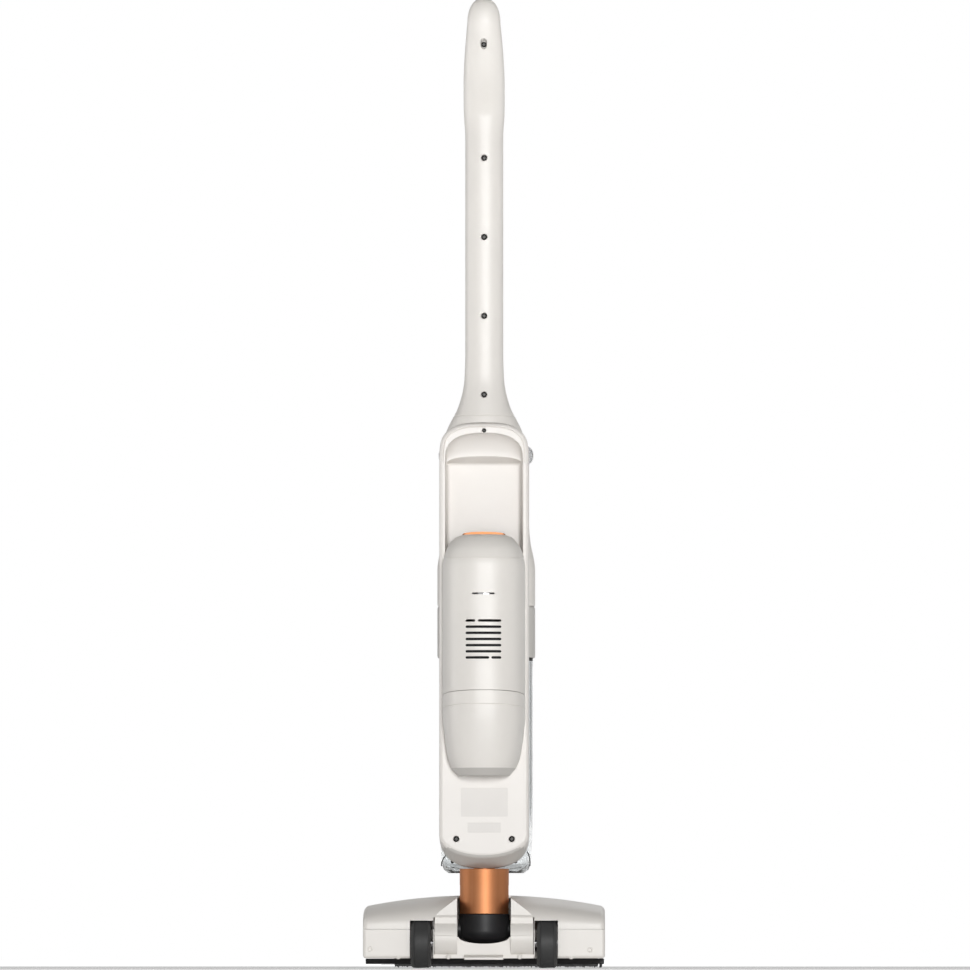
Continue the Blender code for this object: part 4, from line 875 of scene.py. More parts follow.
def pod_cap(name, low, high):
    """Flat end plate of the pod."""
    rings = []
    for level in (low, high):
        half_width, depth = eased(POD_PROFILE, (level,))[0][1:]
        ring = pod_section(level, half_width - 0.0004, depth - 0.0004, 0.0)[:POD_STEPS + 1]
        rings.append(ring)
    return loft(name, rings)


# ---------------------------------------------------------------- floor head
HEAD_MIDDLE = HEAD_TOP
HEAD_END = 0.070
END_ROUND = 0.0055
ROLLER_Z = ROLLER_R
BAY_R = 0.0370
BAY_LEFT, BAY_RIGHT = ROLLER_LEFT - 0.002, 0.1302
CHEEK_R = 0.0340
CHEEK_LEFT, CHEEK_RIGHT = 0.12, 0.15
WELL_GAP = 0.0014
CHASSIS_FRONT = HEAD_FRONT - 0.004
CHASSIS_ROUND = 0.0035
LATCH_DISH_R = 0.020
WELL_IN, WELL_OUT = 0.0575, 0.0838
YOKE_FRONT = 0.034
LATCH_SINK = 0.0022
COVER_BULGE = 0.70        # below 1 the cover's arc is fuller than an ellipse
BRISTLES = 2600


def head_height(x):
    return HEAD_MIDDLE - (HEAD_MIDDLE - HEAD_END) * (abs(x) / HEAD_HALF) ** 2.2


def top_ring(x, inset, low):
    """Rear part of the head's profile at x, from the seam over the crown to the cover's split."""
    rear, crown, split = HEAD_REAR + inset, head_height(x) - inset, COVER_SPLIT - min(inset, SEAM)
    reach = COVER_SPLIT - 0.012 - rear
    base = HEAD_SEAM + 0.002
    points = []
    for step in range(29):
        angle = math.radians(90 * step / 28)
        points.append((x, rear + reach * (1 - math.cos(angle) ** 0.75),
                       base + (crown - base) * math.sin(angle) ** 0.75))
    return points + [(x, split, crown), (x, split, low), (x, rear, low)]


def cover_ring(x, inset):
    """Front part of the head's profile at x: the cover's arc over the roller down to its lip."""
    crown, rear = head_height(x) - inset, COVER_SPLIT + SEAM
    points = [(x, rear, crown)]
    for step in range(1, 31):
        angle = math.radians(90 * step / 30)
        points.append((x, rear + (HEAD_FRONT - inset - rear) * math.sin(angle) ** COVER_BULGE,
                       COVER_LOW + (crown - COVER_LOW) * math.cos(angle) ** COVER_BULGE))
    return points + [(x, rear, COVER_LOW)]


def stations(half, corner, count=44, steps=7):
    """(x, inset) pairs across the head, with the two ends rounded over."""
    angles = [math.radians(90 * step / steps) for step in range(steps, -1, -1)]
    ends = [(half - corner * (1 - math.sin(angle)), corner * (1 - math.cos(angle))) for angle in angles]
    middle = [((half - corner) * (1 - 2 * i / (count - 1)), 0.0) for i in range(1, count - 1)]
    return ends + middle + [(-x, inset) for x, inset in reversed(ends)]


def well(side):
    """Cutter for the room of a rear wheel."""
    return rod("well", WHEEL_R + WELL_GAP, (side * WELL_IN, WHEEL_Y, WHEEL_R),
               (side * WELL_OUT, WHEEL_Y, WHEEL_R), 96)


def roller_rooms():
    """Cutters for the roller's bay and for the room of its end cap."""
    return [rod("bay", BAY_R, (BAY_LEFT, ROLLER_Y, ROLLER_Z), (BAY_RIGHT, ROLLER_Y, ROLLER_Z), 96),
            rod("cap_room", CHEEK_R, (CHEEK_LEFT, ROLLER_Y, ROLLER_Z), (CHEEK_RIGHT, ROLLER_Y, ROLLER_Z), 96)]


def make_head():
    shell = loft("head_shell", [top_ring(x, inset, HEAD_SEAM) for x, inset in stations(HEAD_HALF, END_ROUND)])
    hollow = [top_ring(x, WALL + inset, HEAD_SEAM - 0.01) for x, inset in stations(HEAD_HALF - WALL, 0.003)]
    cutters = [loft("hollow", hollow),
               block("notch", (-0.0305, -0.08, 0.03), (0.0305, YOKE_FRONT, 0.12)),
               block("shoulder", (-YOKE_HALF - 0.0005, -0.08, 0.035),
                     (YOKE_HALF + 0.0005, YOKE_FRONT - 0.001, 0.0575)), well(-1), well(1)]
    for node in ("cover_latch_left", "cover_latch_right"):
        low, high = extent(node)
        cutters.append(block("latch_room", (low.x - SEAM, low.y - SEAM, 0.05),
                             (high.x + SEAM, high.y + SEAM, 0.1)))
        high.z -= LATCH_SINK
        latch = block(node + "_key", low, high)
        dish_y, dish_z = (low.y + high.y) / 2, high.z + 0.0194
        cut(latch, rod("finger_dish", LATCH_DISH_R, (low.x - 0.01, dish_y, dish_z),
                       (high.x + 0.01, dish_y, dish_z), 64))
        placed(rounded(latch, 0.0008), node + "_body", GREY, "shell_grey", node)
    cut(shell, *cutters, solver="MANIFOLD")
    placed(rounded(shell, 0.0007, 2, 50), "head", WHITE, "shell_white", "head_top_shell", sharp=45)
    cover = loft("front_cover", [cover_ring(x, inset) for x, inset in stations(HEAD_HALF, END_ROUND)])
    front_edge = CHASSIS_FRONT + SEAM
    cut(cover, *roller_rooms(),
        block("left_room", (-0.15, 0.06, 0.0), (BAY_LEFT + SEAM, front_edge, HEAD_SEAM)),
        block("low_room", (-0.15, 0.06, 0.0), (0.15, ROLLER_Y + 0.02, HEAD_SEAM)),
        block("belt_room", (-0.134, 0.08, 0.03), (-0.1085, 0.139, 0.058)))
    placed(rounded(cover, 0.0006, 2, 50), "cover", WHITE, "shell_white", "roller_cover", sharp=45)


def chassis_outline(inset):
    """(y, z) outline of the chassis box with its lower edges rounded."""
    rear, front = HEAD_REAR + inset, CHASSIS_FRONT - inset
    low, high = HEAD_LOW + inset, HEAD_SEAM - SEAM
    points = [(front, high), (rear, high)]
    for corner_y, start in ((rear, 180), (front, 270)):
        for step in range(9):
            angle = math.radians(start + 90 * step / 8)
            inner = corner_y + (CHASSIS_ROUND if start == 180 else -CHASSIS_ROUND)
            points.append((inner + CHASSIS_ROUND * math.cos(angle),
                           low + CHASSIS_ROUND + CHASSIS_ROUND * math.sin(angle)))
    return points


def make_chassis():
    rings = [[(x, y, z) for y, z in chassis_outline(inset)]
             for x, inset in stations(HEAD_HALF, CHASSIS_ROUND)]
    chassis = loft("chassis_box", rings)
    drops = [block("drop", (min(side * WELL_IN, side * WELL_OUT), HEAD_REAR - 0.01, 0.0),
                   (max(side * WELL_IN, side * WELL_OUT), WHEEL_Y + WHEEL_R, WHEEL_R)) for side in (-1, 1)]
    cut(chassis, *roller_rooms(),
        block("bay_front", (BAY_LEFT, ROLLER_Y, -0.01), (0.150, 0.16, 0.06)),
        block("yoke_room", (-YOKE_HALF, HEAD_REAR - 0.01, 0.0), (YOKE_HALF, YOKE_FRONT, 0.06)),
        block("duct_room", (-0.020, YOKE_FRONT - 0.01, 0.0134), (0.020, 0.09, 0.06)),
        block("belt_room", (-0.134, 0.018, 0.014), (-0.1085, 0.143, 0.06)),
        block("motor_room", (-0.110, 0.022, 0.014), (-0.030, 0.068, 0.06)),
        block("pump_room", (0.030, 0.010, 0.014), (0.132, 0.068, 0.06)), *drops, well(-1), well(1),
        rod("hub_room", 0.0055, (-0.112, ROLLER_Y, ROLLER_Z), (-0.09, ROLLER_Y, ROLLER_Z), 32),
        rod("axle_room", 0.0043, (-0.065, WHEEL_Y, WHEEL_R), (0.065, WHEEL_Y, WHEEL_R), 32))
    placed(rounded(chassis, 0.0006, 2, 50), "head", WHITE, "shell_white", "head_chassis", sharp=45)


def make_yoke():
    """Floor plate, two arms for the axles and pitch pins, a saddle behind the knuckle and a foot lip."""
    low, high = extent("neck_yoke")
    yoke = block("yoke_plate", (low.x, -0.040, HEAD_LOW), (high.x, high.y, 0.0155))
    arm = hull_of_circles(((-0.0262, 0.0340), 0.0225), ((0.0, PITCH_Z), 0.0115), 40)
    arms = [slab("arm", arm, "X", *sorted((side * 0.0302, side * 0.0560))) for side in (-1, 1)]
    saddle = [(0.0306, 0.0140), (0.0306, 0.0352), (0.0287, 0.0352)]
    saddle += [(0.0287 * math.cos(math.radians(180 * i / 32)),
                0.0352 - 0.0077 * math.sin(math.radians(180 * i / 32))) for i in range(1, 32)]
    saddle += [(-0.0287, 0.0352), (-0.0306, 0.0352), (-0.0306, 0.0140)]
    lip = [(-0.030, HEAD_LOW), (-0.030, 0.0150), (-0.044, 0.0150), (low.y, 0.0120), (low.y, 0.0095),
           (-0.044, HEAD_LOW)]
    facet = [(0.0306, 0.0500), (0.0556, 0.0500), (0.0556, 0.0585), (0.0505, 0.0640), (0.0306, 0.0790)]
    for side in (-1, 1):
        arms.append(slab("facet", [(side * x, z) for x, z in facet], "Y", -0.0415, -0.0330))
    join(yoke, *arms, slab("saddle", saddle, "Y", -0.0402, -0.0362), slab("lip", lip, "X", -0.022, 0.022))
    for side in (-1, 1):
        cut(yoke, rod("pin_room", 0.0053, (side * 0.02, 0, PITCH_Z), (side * 0.0445, 0, PITCH_Z), 32),
            rod("axle_room", 0.0043, (side * 0.044, WHEEL_Y, WHEEL_R), (side * 0.07, WHEEL_Y, WHEEL_R), 32),
            block("arm_seam", (min(side * 0.0300, side * 0.0562), -0.056, 0.0361),
                  (max(side * 0.0300, side * 0.0562), -0.0470, 0.0368)))
    placed(rounded(yoke, 0.0008, 3, 40), "head", WHITE, "shell_white", "neck_yoke", sharp=45)


def make_wheels():
    rim, tread = 0.0018, 0.0005
    for side, name in ((-1, "left"), (1, "right")):
        centre = (side * WHEEL_X, WHEEL_Y, WHEEL_R)
        half = WHEEL_HALF
        profile = [(0.0045, half), (0.0085, half), (0.0090, half - 0.0012), (0.0180, half - 0.0012),
                   (0.0185, half), (WHEEL_R - 0.004, half), (WHEEL_R - rim, half - 0.0008),
                   (WHEEL_R - 0.0004, half - 0.0030)]
        for level in (0.0072, -0.0068):
            profile += [(WHEEL_R, level + 0.0011), (WHEEL_R, level + 0.0004),
                        (WHEEL_R - tread, level + 0.0001), (WHEEL_R - tread, level - 0.0004)]
        profile += [(WHEEL_R, -0.0078), (WHEEL_R - 0.0004, 0.0030 - half), (WHEEL_R - rim, 0.0008 - half),
                    (WHEEL_R - 0.004, -half), (0.0185, -half), (0.0180, 0.0012 - half),
                    (0.0090, 0.0012 - half), (0.0085, -half), (0.0045, -half)]
        wheel = turned(f"tyre_{name}", profile, centre, "X", 120)
        placed(wheel, f"wheel_{name}_body", RUBBER, "rubber", f"wheel_{name}")


def make_roller():
    """The pile roller: a sleeve of short tufts over its core, with the end cap."""
    low, high = extent("roller_sleeve")
    base = ROLLER_R - 0.0018
    profile = [(base - 0.0010, high.x), (base, high.x - 0.0012), (base, low.x + 0.0012),
               (base - 0.0010, low.x), (0.0250, low.x), (0.0250, high.x)]
    sleeve = turned("pile_backing", profile, (0, ROLLER_Y, ROLLER_Z), "X", 96)
    placed(sleeve, "roller", PILE, "pile", "roller_sleeve")
    random.seed(11)
    work = bmesh.new()
    for _ in range(BRISTLES):
        x = random.uniform(low.x + 0.0010, high.x - 0.0010)
        angle = random.uniform(0.0, 2 * math.pi)
        lean = angle + random.uniform(-0.02, 0.02)
        tip_r = ROLLER_R - random.uniform(0.00002, 0.0006)
        half = random.uniform(0.0005, 0.0009)
        root = [(x - half, angle - 0.022), (x + half, angle - 0.022), (x + half, angle + 0.022),
                (x - half, angle + 0.022)]
        corners = [work.verts.new((rx, ROLLER_Y + (base - 0.0004) * math.cos(a),
                                   ROLLER_Z + (base - 0.0004) * math.sin(a))) for rx, a in root]
        tip_x = min(max(x + random.uniform(-0.0006, 0.0006), low.x), high.x)
        tip = work.verts.new((tip_x, ROLLER_Y + tip_r * math.cos(lean), ROLLER_Z + tip_r * math.sin(lean)))
        work.faces.new(corners)
        for i in range(4):
            work.faces.new((corners[i], corners[(i + 1) % 4], tip))
    placed(from_bmesh("pile_tufts", work), "roller", PILE, "pile", sharp=60)
    cap_low, cap_high = extent("roller_end_cap")
    cap_r = (cap_high.z - cap_low.z) / 2
    end = cap_high.x
    profile = [(0.0, end - 0.0006), (0.008, end - 0.0006), (0.0095, end), (0.0115, end),
               (0.012, end - 0.0005), (0.012, end - 0.0025), (cap_r - 0.006, end - 0.0025),
               (cap_r - 0.001, end - 0.0035), (cap_r, end - 0.0048), (cap_r, 0.1305),
               (0.0085, 0.1305), (0.0085, 0.118), (0.0, 0.118)]
    cap = turned("end_cap", profile, (0, ROLLER_Y, ROLLER_Z), "X", 96)
    placed(cap, "roller_carrier", BLACK, "black_plastic", "roller_end_cap")


# ---------------------------------------------------------------- neck joint
def make_neck():
    profile = [(0.0, KNUCKLE_TOP), (KNUCKLE_R - 0.0006, KNUCKLE_TOP), (KNUCKLE_R, KNUCKLE_TOP - 0.0006),
               (KNUCKLE_R, 0.0420), (0.0284, 0.0396), (0.0274, 0.0370), (0.0259, 0.0345), (0.0240, 0.0325),
               (0.0214, 0.0310), (0.0186, 0.0300), (0.0150, 0.0280), (0.0, KNUCKLE_LOW)]
    knuckle = turned("knuckle_body_detail", profile, (0, 0, 0), "Z", 128)
    join(knuckle, rod("boss", 0.0105, (-0.0297, 0, PITCH_Z), (0.0297, 0, PITCH_Z), 64))
    cut(knuckle, rod("bore", 0.0140, (0, 0, 0.0200), (0, 0, 0.0700), 64),
        rod("swivel_seat", 0.0215, (0, 0, KNUCKLE_TOP - 0.008), (0, 0, 0.0720), 96),
        rod("pin_left", 0.0053, (-0.0200, 0, PITCH_Z), (-0.04, 0, PITCH_Z), 32),
        rod("pin_right", 0.0053, (0.0200, 0, PITCH_Z), (0.04, 0, PITCH_Z), 32))
    placed(rounded(knuckle, 0.0004, 2, 50), "knuckle_body", BLACK, "black_plastic", "knuckle")
    low, high = KNUCKLE_TOP + SEAM, extent("neck_tube")[1].z
    bore, spigot = 0.0175, 0.0212
    collar = FRAME_LOW - SEAM
    profile = [(NECK_SPIGOT, high), (NECK_SPIGOT, collar), (NECK_R - 0.0006, collar),
               (NECK_R, collar - 0.0006), (NECK_R, low + 0.0005), (NECK_R - 0.0005, low),
               (spigot, low), (spigot, low - 0.0075),
               (bore, low - 0.0075), (bore, low), (bore, 0.1000), (NECK_SPIGOT - 0.0020, 0.1060),
               (NECK_SPIGOT - 0.0020, high)]
    neck = turned("neck_sleeve", profile, (0, 0, 0), "Z", 128)
    for side in (-1, 1):
        cut(neck, block("notch", (min(side * 0.0272, side * 0.0290), -0.0040, 0.0827),
                        (max(side * 0.0272, side * 0.0290), 0.0040, 0.0940)))
    placed(neck, "upright", COPPER, "copper", "neck_tube")


# ---------------------------------------------------------------- tanks and display
FRONT_SHIFT = 0.0015      # the tanks and display stand a little to the right of the frame's middle
FRONT_NARROW = 0.0012


def tank_ring(z, half_width, front=TANK_FRONT, inset=0.0, rear=TANK_REAR, fullness=3.4):
    ring = oval_ring(z, half_width - FRONT_NARROW - inset, rear + inset, front - inset, fullness, 120)
    return [(x + FRONT_SHIFT, y, level) for x, y, level in ring]


def tank_rings(rows, inset=0.0, count=40):
    first, last = rows[0][0], rows[-1][0]
    levels = [first + (last - first) * i / (count - 1) for i in range(count)]
    return [tank_ring(z, half_width, front, inset) for z, half_width, front in eased(rows, levels)]


DIRTY_SHAPE = (  # level, half width, front of the dirty tank, and the same for its room
    (DIRTY_LOW, 0.0440, 0.100), (DIRTY_LOW + 0.003, 0.0490, 0.105), (DIRTY_LOW + 0.012, 0.0520, 0.109),
    (0.200, 0.0547, TANK_FRONT), (DIRTY_HIGH, 0.0547, TANK_FRONT))
DIRTY_ROOM = (
    (DIRTY_LOW + WALL, 0.0440, 0.100), (DIRTY_LOW + 0.004, 0.0490, 0.105), (DIRTY_LOW + 0.013, 0.0520, 0.109),
    (0.201, 0.0547, TANK_FRONT), (DIRTY_HIGH + 0.01, 0.0547, TANK_FRONT))
LID_SHAPE = (
    (LID_LOW, 0.0560, TANK_FRONT), (LID_LOW + 0.0012, 0.0568, TANK_FRONT),
    (LID_LOW + 0.003, 0.0571, TANK_FRONT), (LID_HIGH - 0.003, 0.0571, TANK_FRONT),
    (LID_HIGH - 0.0010, 0.0568, TANK_FRONT),
    (LID_HIGH, 0.0560, TANK_FRONT))
CLEAN_SHAPE = (
    (CLEAN_LOW, 0.0560, TANK_FRONT), (CLEAN_LOW + 0.002, 0.0571, TANK_FRONT), (0.4540, 0.0571, TANK_FRONT),
    (0.4880, 0.0515, TANK_FRONT - 0.002), (0.5300, 0.0480, 0.106), (CLEAN_HIGH - 0.004, 0.0450, 0.098),
    (CLEAN_HIGH, 0.0410, 0.092))
CLEAN_ROOM = (
    (CLEAN_LOW + WALL, 0.0560, TANK_FRONT), (0.4540, 0.0571, TANK_FRONT),
    (0.4880, 0.0515, TANK_FRONT - 0.002), (0.5300, 0.0480, 0.106), (CLEAN_HIGH - WALL, 0.0430, 0.095))
GASKET_HALF = 0.0545
LATCH_RIBS, LATCH_RIB_PITCH, LATCH_RIB_GAP = 6, 0.0024, 0.0009
FILLER_HOLE_R, FILLER_Y = 0.0125, 0.064
CAP_GRIPS, CAP_GRIP_R = 24, 0.0009


def make_dirty_tank():
    tank = loft("water_tank", tank_rings(DIRTY_SHAPE, 0.0, 60))
    cut(tank, loft("tank_room", tank_rings(DIRTY_ROOM, WALL, 60)))
    placed(rounded(tank, 0.0004, 2, 50), "dirty_tank", CLEAR, "clear_tank", "dirty_water_tank", sharp=50)
    low, high = extent("tank_gasket")[0].z, extent("tank_gasket")[1].z
    grooves = ((low, 0.0003), (low + 0.0008, 0.0), (high - 0.0016, 0.0), (high - 0.0012, 0.0006),
               (high - 0.0006, 0.0), (high, 0.0003))
    gasket = loft("gasket", [tank_ring(z, GASKET_HALF - groove, TANK_FRONT - 0.0005 - groove, 0.0,
                                       TANK_REAR + 0.0005 + groove) for z, groove in grooves])
    cut(gasket, loft("gasket_room", [tank_ring(z, GASKET_HALF, TANK_FRONT, 0.0035)
                                     for z in (DIRTY_HIGH - 0.01, DIRTY_HIGH + 0.02)]))
    placed(gasket, "dirty_tank", RUBBER, "rubber", "tank_gasket")
    lid = loft("lid_shell", tank_rings(LID_SHAPE, 0.0, 50))
    room = [tank_ring(z, 0.0530, TANK_FRONT, 0.004) for z in (LID_LOW - 0.01, LID_HIGH - 0.006)]
    cut(lid, loft("lid_room", room), block("latch_room", (-0.0183, 0.100, 0.3780), (0.0183, 0.12, 0.3980)))
    placed(rounded(lid, 0.0005, 2, 50), "dirty_tank", GREY, "shell_grey", "tank_lid", sharp=45)
    low, high = extent("tank_latch")
    latch = block("latch_key", low, high)
    ribs = [low.z + 0.0035 + LATCH_RIB_PITCH * i for i in range(LATCH_RIBS)]
    cut(latch, *[block("rib_gap", (low.x + 0.004, high.y - 0.0006, z),
                       (high.x - 0.004, high.y + 0.01, z + LATCH_RIB_GAP)) for z in ribs])
    placed(rounded(latch, 0.0005), "tank_latch_body", WHITE, "shell_white", "tank_latch")


def make_clean_tank():
    clean = loft("clean_shell", tank_rings(CLEAN_SHAPE, 0.0, 90))
    cut(clean, loft("clean_room", tank_rings(CLEAN_ROOM, WALL, 40)),
        rod("filler_hole", FILLER_HOLE_R, (0, FILLER_Y, 0.54), (0, FILLER_Y, 0.58), 72))
    placed(rounded(clean, 0.0004, 2, 50), "clean_tank", WHITE, "shell_white", "clean_water_tank", sharp=45)
    low, high = extent("filler_cap")
    middle, top, radius = (low.y + high.y) / 2, high.z, high.x
    profile = [(0.0, top - 0.0004), (radius - 0.004, top - 0.0004), (radius - 0.0034, top),
               (radius - 0.0015, top), (radius - 0.0004, top - 0.0008), (radius, top - 0.002),
               (radius, low.z + 0.0105 - 0.0042), (radius - 0.0005, CLEAN_HIGH + SEAM),
               (0.0120, CLEAN_HIGH + SEAM), (0.0120, low.z), (0.0, low.z)]
    cap = turned("cap", profile, (0, middle, 0), "Z", 96)
    reach = radius + 0.0003
    grips = []
    for i in range(CAP_GRIPS):
        angle = 2 * math.pi * i / CAP_GRIPS
        x, y = math.cos(angle) * reach, middle + math.sin(angle) * reach
        grips.append(rod("grip_gap", CAP_GRIP_R, (x, y, top - 0.0030), (x, y, top + 0.01), 16))
    cut(cap, *grips)
    placed(cap, "filler_cap_body", COPPER, "copper", "filler_cap")


def display_ring(y, half_width, half_height):
    return [(x + FRONT_SHIFT, y, DISPLAY_Z + z)
            for x, z, _ in oval_ring(0, half_width - FRONT_NARROW, -half_height, half_height, 2.6, 120)]


LENS_STEPS = 12


def make_display():
    low, high = extent("display_housing")
    rear, front = low.y, high.y
    rows = ((rear, 0.0540, 0.0176), (rear + 0.0008, 0.0545, 0.0180), (rear + 0.0097, 0.0555, 0.0185),
            (front - 0.004, 0.0545, 0.0180), (front - 0.0006, 0.0533, 0.0172), (front, 0.0528, 0.0169))
    housing = loft("display_case", [display_ring(*row) for row in rows])
    placed(housing, "upright", GLOSS, "gloss_black", "display_housing")
    low, high = extent("display_lens")
    rings = []
    for step in range(LENS_STEPS + 1):
        angle = math.radians(90 * step / LENS_STEPS)
        y, drawn_in = low.y + (high.y - low.y) * math.sin(angle), 1 - math.cos(angle)
        rings.append(display_ring(y, 0.0500 - 0.0110 * drawn_in, 0.0150 - 0.0062 * drawn_in))
    lens = loft("display_glass", rings)
    placed(lens, "upright", GLOSS, "gloss_black", "display_lens")


# ---------------------------------------------------------------- pieces kept as they are in the CAD
KEPT = {"shell_white": WHITE, "shell_grey": GREY, "black_plastic": BLACK, "gloss_black": GLOSS,
        "rubber": RUBBER, "copper": COPPER, "steel": STEEL, "clear_tank": CLEAR, "pile": PILE,
        "filter": FILTER,
        "black_oxide": OXIDE, "carbon_foam": FOAM, "board": BOARD, "cell_blue": CELL}


# ---------------------------------------------------------------- small details with no CAD node
HEAD_LUGS = ((-0.1286, 0.0210), (0.1202, 0.0205))
LIP_BUMPS = (-0.0970, -0.0402, 0.0406, 0.0988)
BLADE_LOW = 0.0038
BLADE_WAVES = 160
TANK_SEALS = (  # the tank's two corner seals as (x, z) points
    ("tank_seal_left", ((-0.0405, 0.1310), (-0.0440, 0.1285), (-0.0470, 0.1250), (-0.0488, 0.1205),
                        (-0.0492, 0.1160))),
    ("tank_seal_right", ((0.0485, 0.1325), (0.0503, 0.1290), (0.0513, 0.1250), (0.0517, 0.1205),
                         (0.0515, 0.1160))))
TANK_CATCHES = (-0.0367, 0.0349)


def bead(name, path, radius, steps=12):
    """A thin round cord along upright (x, z) points, just inside the tank's rear wall."""
    rings = []
    for i, (x, z) in enumerate(path):
        before, after = path[max(i - 1, 0)], path[min(i + 1, len(path) - 1)]
        run = Vector((after[0] - before[0], after[1] - before[1])).normalized()
        rings.append([(x + radius * math.cos(a) * run.y, TANK_REAR + 0.0048 + radius * math.sin(a),
                       z - radius * math.cos(a) * run.x)
                      for a in (2 * math.pi * step / steps for step in range(steps))])
    return loft(name, rings)


def make_head_trim():
    """Lugs on the head's rear face, bumps under its edge, the tank's seals and catches, and the squeegee."""
    for x, z in HEAD_LUGS:
        profile = [(0.0, -0.0002), (0.0016, -0.0004), (0.0022, -0.0013), (0.0028, -0.0013), (0.0032, 0.0006),
                   (0.0, 0.0006)]
        lug = turned("head_lug", profile, (x, HEAD_REAR, z), "Y", 32)
        placed(lug, "head", WHITE, "shell_white")
    for x in LIP_BUMPS:
        profile = [(0.0, -0.0012), (0.0020, -0.0008), (0.0030, 0.0), (0.0030, 0.0040), (0.0, 0.0040)]
        bump = turned("lip_bump", profile, (x, HEAD_REAR + 0.0012, HEAD_LOW + 0.0020), "Y", 32)
        placed(bump, "head", WHITE, "shell_white")
    for name, path in TANK_SEALS:
        placed(bead(name, path, 0.0007), "dirty_tank", RUBBER, "rubber")
    for x in TANK_CATCHES:
        outline = [(x + px, pz) for px, pz in rounded_box(0.0019, 0.1190, 0.1242, 0.0015)]
        catch = slab("tank_catch", outline, "Y", TANK_REAR + 0.0040, TANK_REAR + 0.0065)
        placed(rounded(catch, 0.0004, 2), "dirty_tank", BLACK, "rubber")
    low, high = extent("squeegee_blade")
    wave = []
    for i in range(BLADE_WAVES + 1):
        x = low.x + (high.x - low.x) * i / BLADE_WAVES
        wave.append((x, BLADE_LOW + 0.0002 * (i % 2)))
    outline = [(low.x, high.z), *wave, (high.x, high.z)]
    blade = slab("squeegee_lip", outline, "Y", low.y, high.y)
    placed(blade, "head", RUBBER, "rubber", "squeegee_blade")


def finish_kept_nodes():
    """CAD nodes that no piece stands for get the detailed finishes in place of their plain ones."""
    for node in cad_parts.values():
        for place in node.material_slots:
            place.material = KEPT[place.material.name.split(".")[0]]


# ---------------------------------------------------------------- floor, light and camera
VIEW_TURN = 0.6           # degrees that the camera stands to the object's right
CAMERA_DISTANCE = 14.0
CAMERA_HIGH = 0.012
PICTURE_SIZE = 1.1023     # metres of height in the picture at the neck's axis
PICTURE_MIDDLE = (0.0008, 0.5489)
FLOOR_SIZE = 60.0


def make_floor():
    material, tree, shader = new_material("floor_white")
    drift = noise(tree, 1.5, 3.0)
    tone = ramp(tree, drift, ((0.3, (0.93, 0.93, 0.93)), (0.7, (0.95, 0.95, 0.95))))
    tree.links.new(tone, shader.inputs["Base Color"])
    shader.inputs["Roughness"].default_value = 0.9
    shader.inputs["Emission Color"].default_value = (1.0, 1.0, 1.0, 1.0)
    place = object_coordinates(tree)
    reach = add_node(tree, "ShaderNodeVectorMath", {"operation": "LENGTH"})
    tree.links.new(place, reach.inputs[0])
    glow = add_node(tree, "ShaderNodeMapRange", {"interpolation_type": "SMOOTHSTEP"},
                    Value=reach.outputs["Value"],
                    From_Min=1.0, From_Max=5.0, To_Min=0.15, To_Max=0.90).outputs[0]
    tree.links.new(glow, shader.inputs["Emission Strength"])
    half = FLOOR_SIZE / 2
    floor = slab("floor", [(-half, -half), (half, -half), (half, half), (-half, half)], "Z", -0.02, 0.0)
    floor.data.materials.append(material)


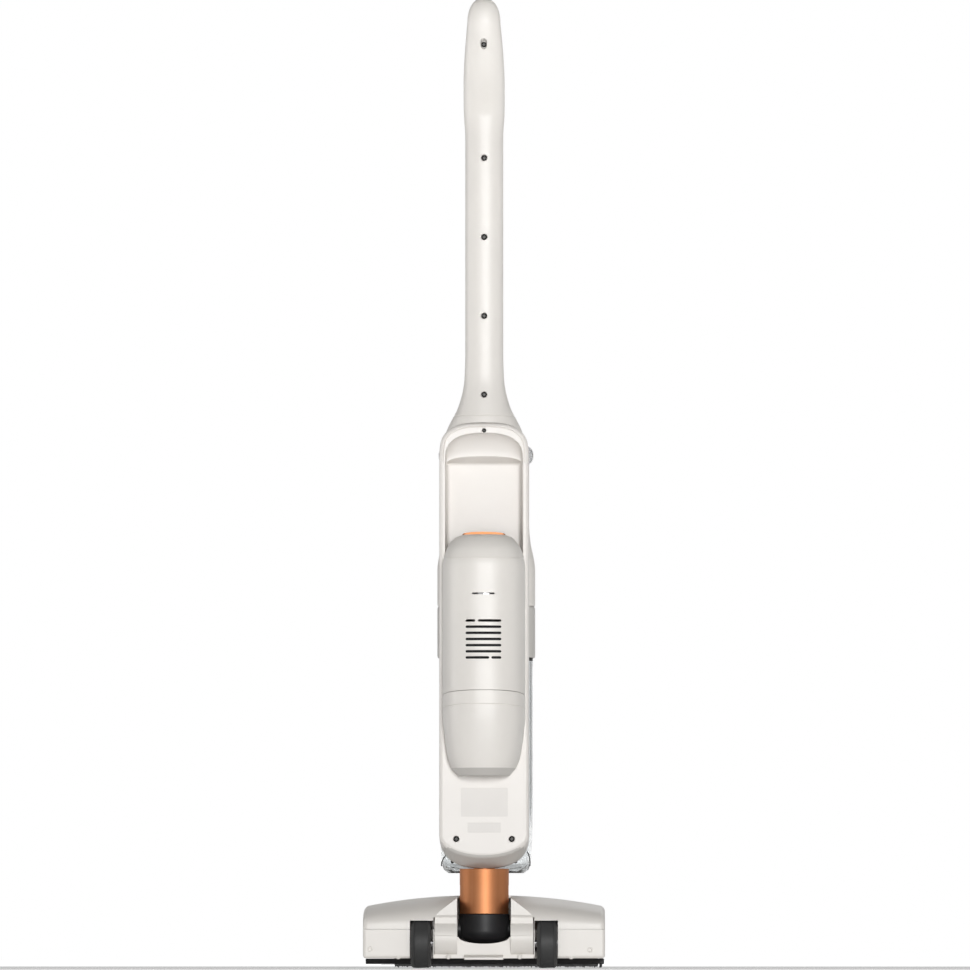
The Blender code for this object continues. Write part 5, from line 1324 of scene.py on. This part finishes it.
def make_world():
    """A soft bright surround, with a pure white patch behind the object for the picture's background."""
    world = bpy.data.worlds.new("studio")
    bpy.context.scene.world = world
    world.use_nodes = True
    tree = world.node_tree
    place = tree.nodes.new("ShaderNodeTexCoord").outputs["Generated"]
    toward = add_node(tree, "ShaderNodeVectorMath", {"operation": "DOT_PRODUCT"}).inputs
    tree.links.new(place, toward[0])
    toward[1].default_value = (0.0, 1.0, 0.0)
    facing = toward[0].node.outputs["Value"]
    shade = ramp(tree, facing, ((0.0, (0.20, 0.20, 0.20)), (0.80, (0.22, 0.22, 0.22)),
                                (0.96, (1.0, 1.0, 1.0))))
    background = tree.nodes["Background"]
    tree.links.new(shade, background.inputs["Color"])
    background.inputs["Strength"].default_value = 1.0


def area_light(name, place, target, width, height, power):
    data = bpy.data.lights.new(name, "AREA")
    data.shape = "RECTANGLE"
    data.size, data.size_y, data.energy = width, height, power
    light = bpy.data.objects.new(name, data)
    bpy.context.scene.collection.objects.link(light)
    light.location = place
    light.rotation_euler = (Vector(target) - Vector(place)).to_track_quat("-Z", "Y").to_euler()


def make_lights():
    middle = (0.0, 0.0, 0.55)
    area_light("key", (0.6, -6.0, 0.95), middle, 1.0, 1.2, 180.0)
    area_light("rim_left", (-3.0, 0.2, 1.0), middle, 0.4, 2.2, 14.0)
    area_light("rim_right", (3.0, 0.2, 1.2), middle, 0.4, 2.2, 6.0)
    area_light("front_soft", (1.0, 4.0, 2.6), middle, 2.4, 1.6, 20.0)


def make_camera():
    data = bpy.data.cameras.new("camera")
    camera = bpy.data.objects.new("camera", data)
    bpy.context.scene.collection.objects.link(camera)
    bpy.context.scene.camera = camera
    data.sensor_width = 36.0
    data.angle = 2 * math.atan(PICTURE_SIZE / 2 / CAMERA_DISTANCE)
    data.clip_end = 200.0
    x, z = PICTURE_MIDDLE
    target = Vector((x, AXIS_Y, z))
    turn = math.radians(VIEW_TURN)
    camera.location = (x + CAMERA_DISTANCE * math.sin(turn),
                       AXIS_Y - CAMERA_DISTANCE * math.cos(turn), CAMERA_HIGH)
    camera.rotation_euler = (target - camera.location).to_track_quat("-Z", "Y").to_euler()


def main():
    make_pole()
    for node in ("pole_screw_1", "pole_screw_2", "pole_screw_3", "pole_screw_4", "grip_screw", "rim_screw",
                 "panel_screw_left", "panel_screw_right"):
        make_screw(node)
    make_frame()
    make_pod()
    make_head()
    make_chassis()
    make_yoke()
    make_wheels()
    make_roller()
    make_neck()
    make_dirty_tank()
    make_clean_tank()
    make_display()
    make_head_trim()
    finish_kept_nodes()
    make_floor()
    make_world()
    make_lights()
    make_camera()
    bpy.context.scene.view_settings.view_transform = "Standard"


main()
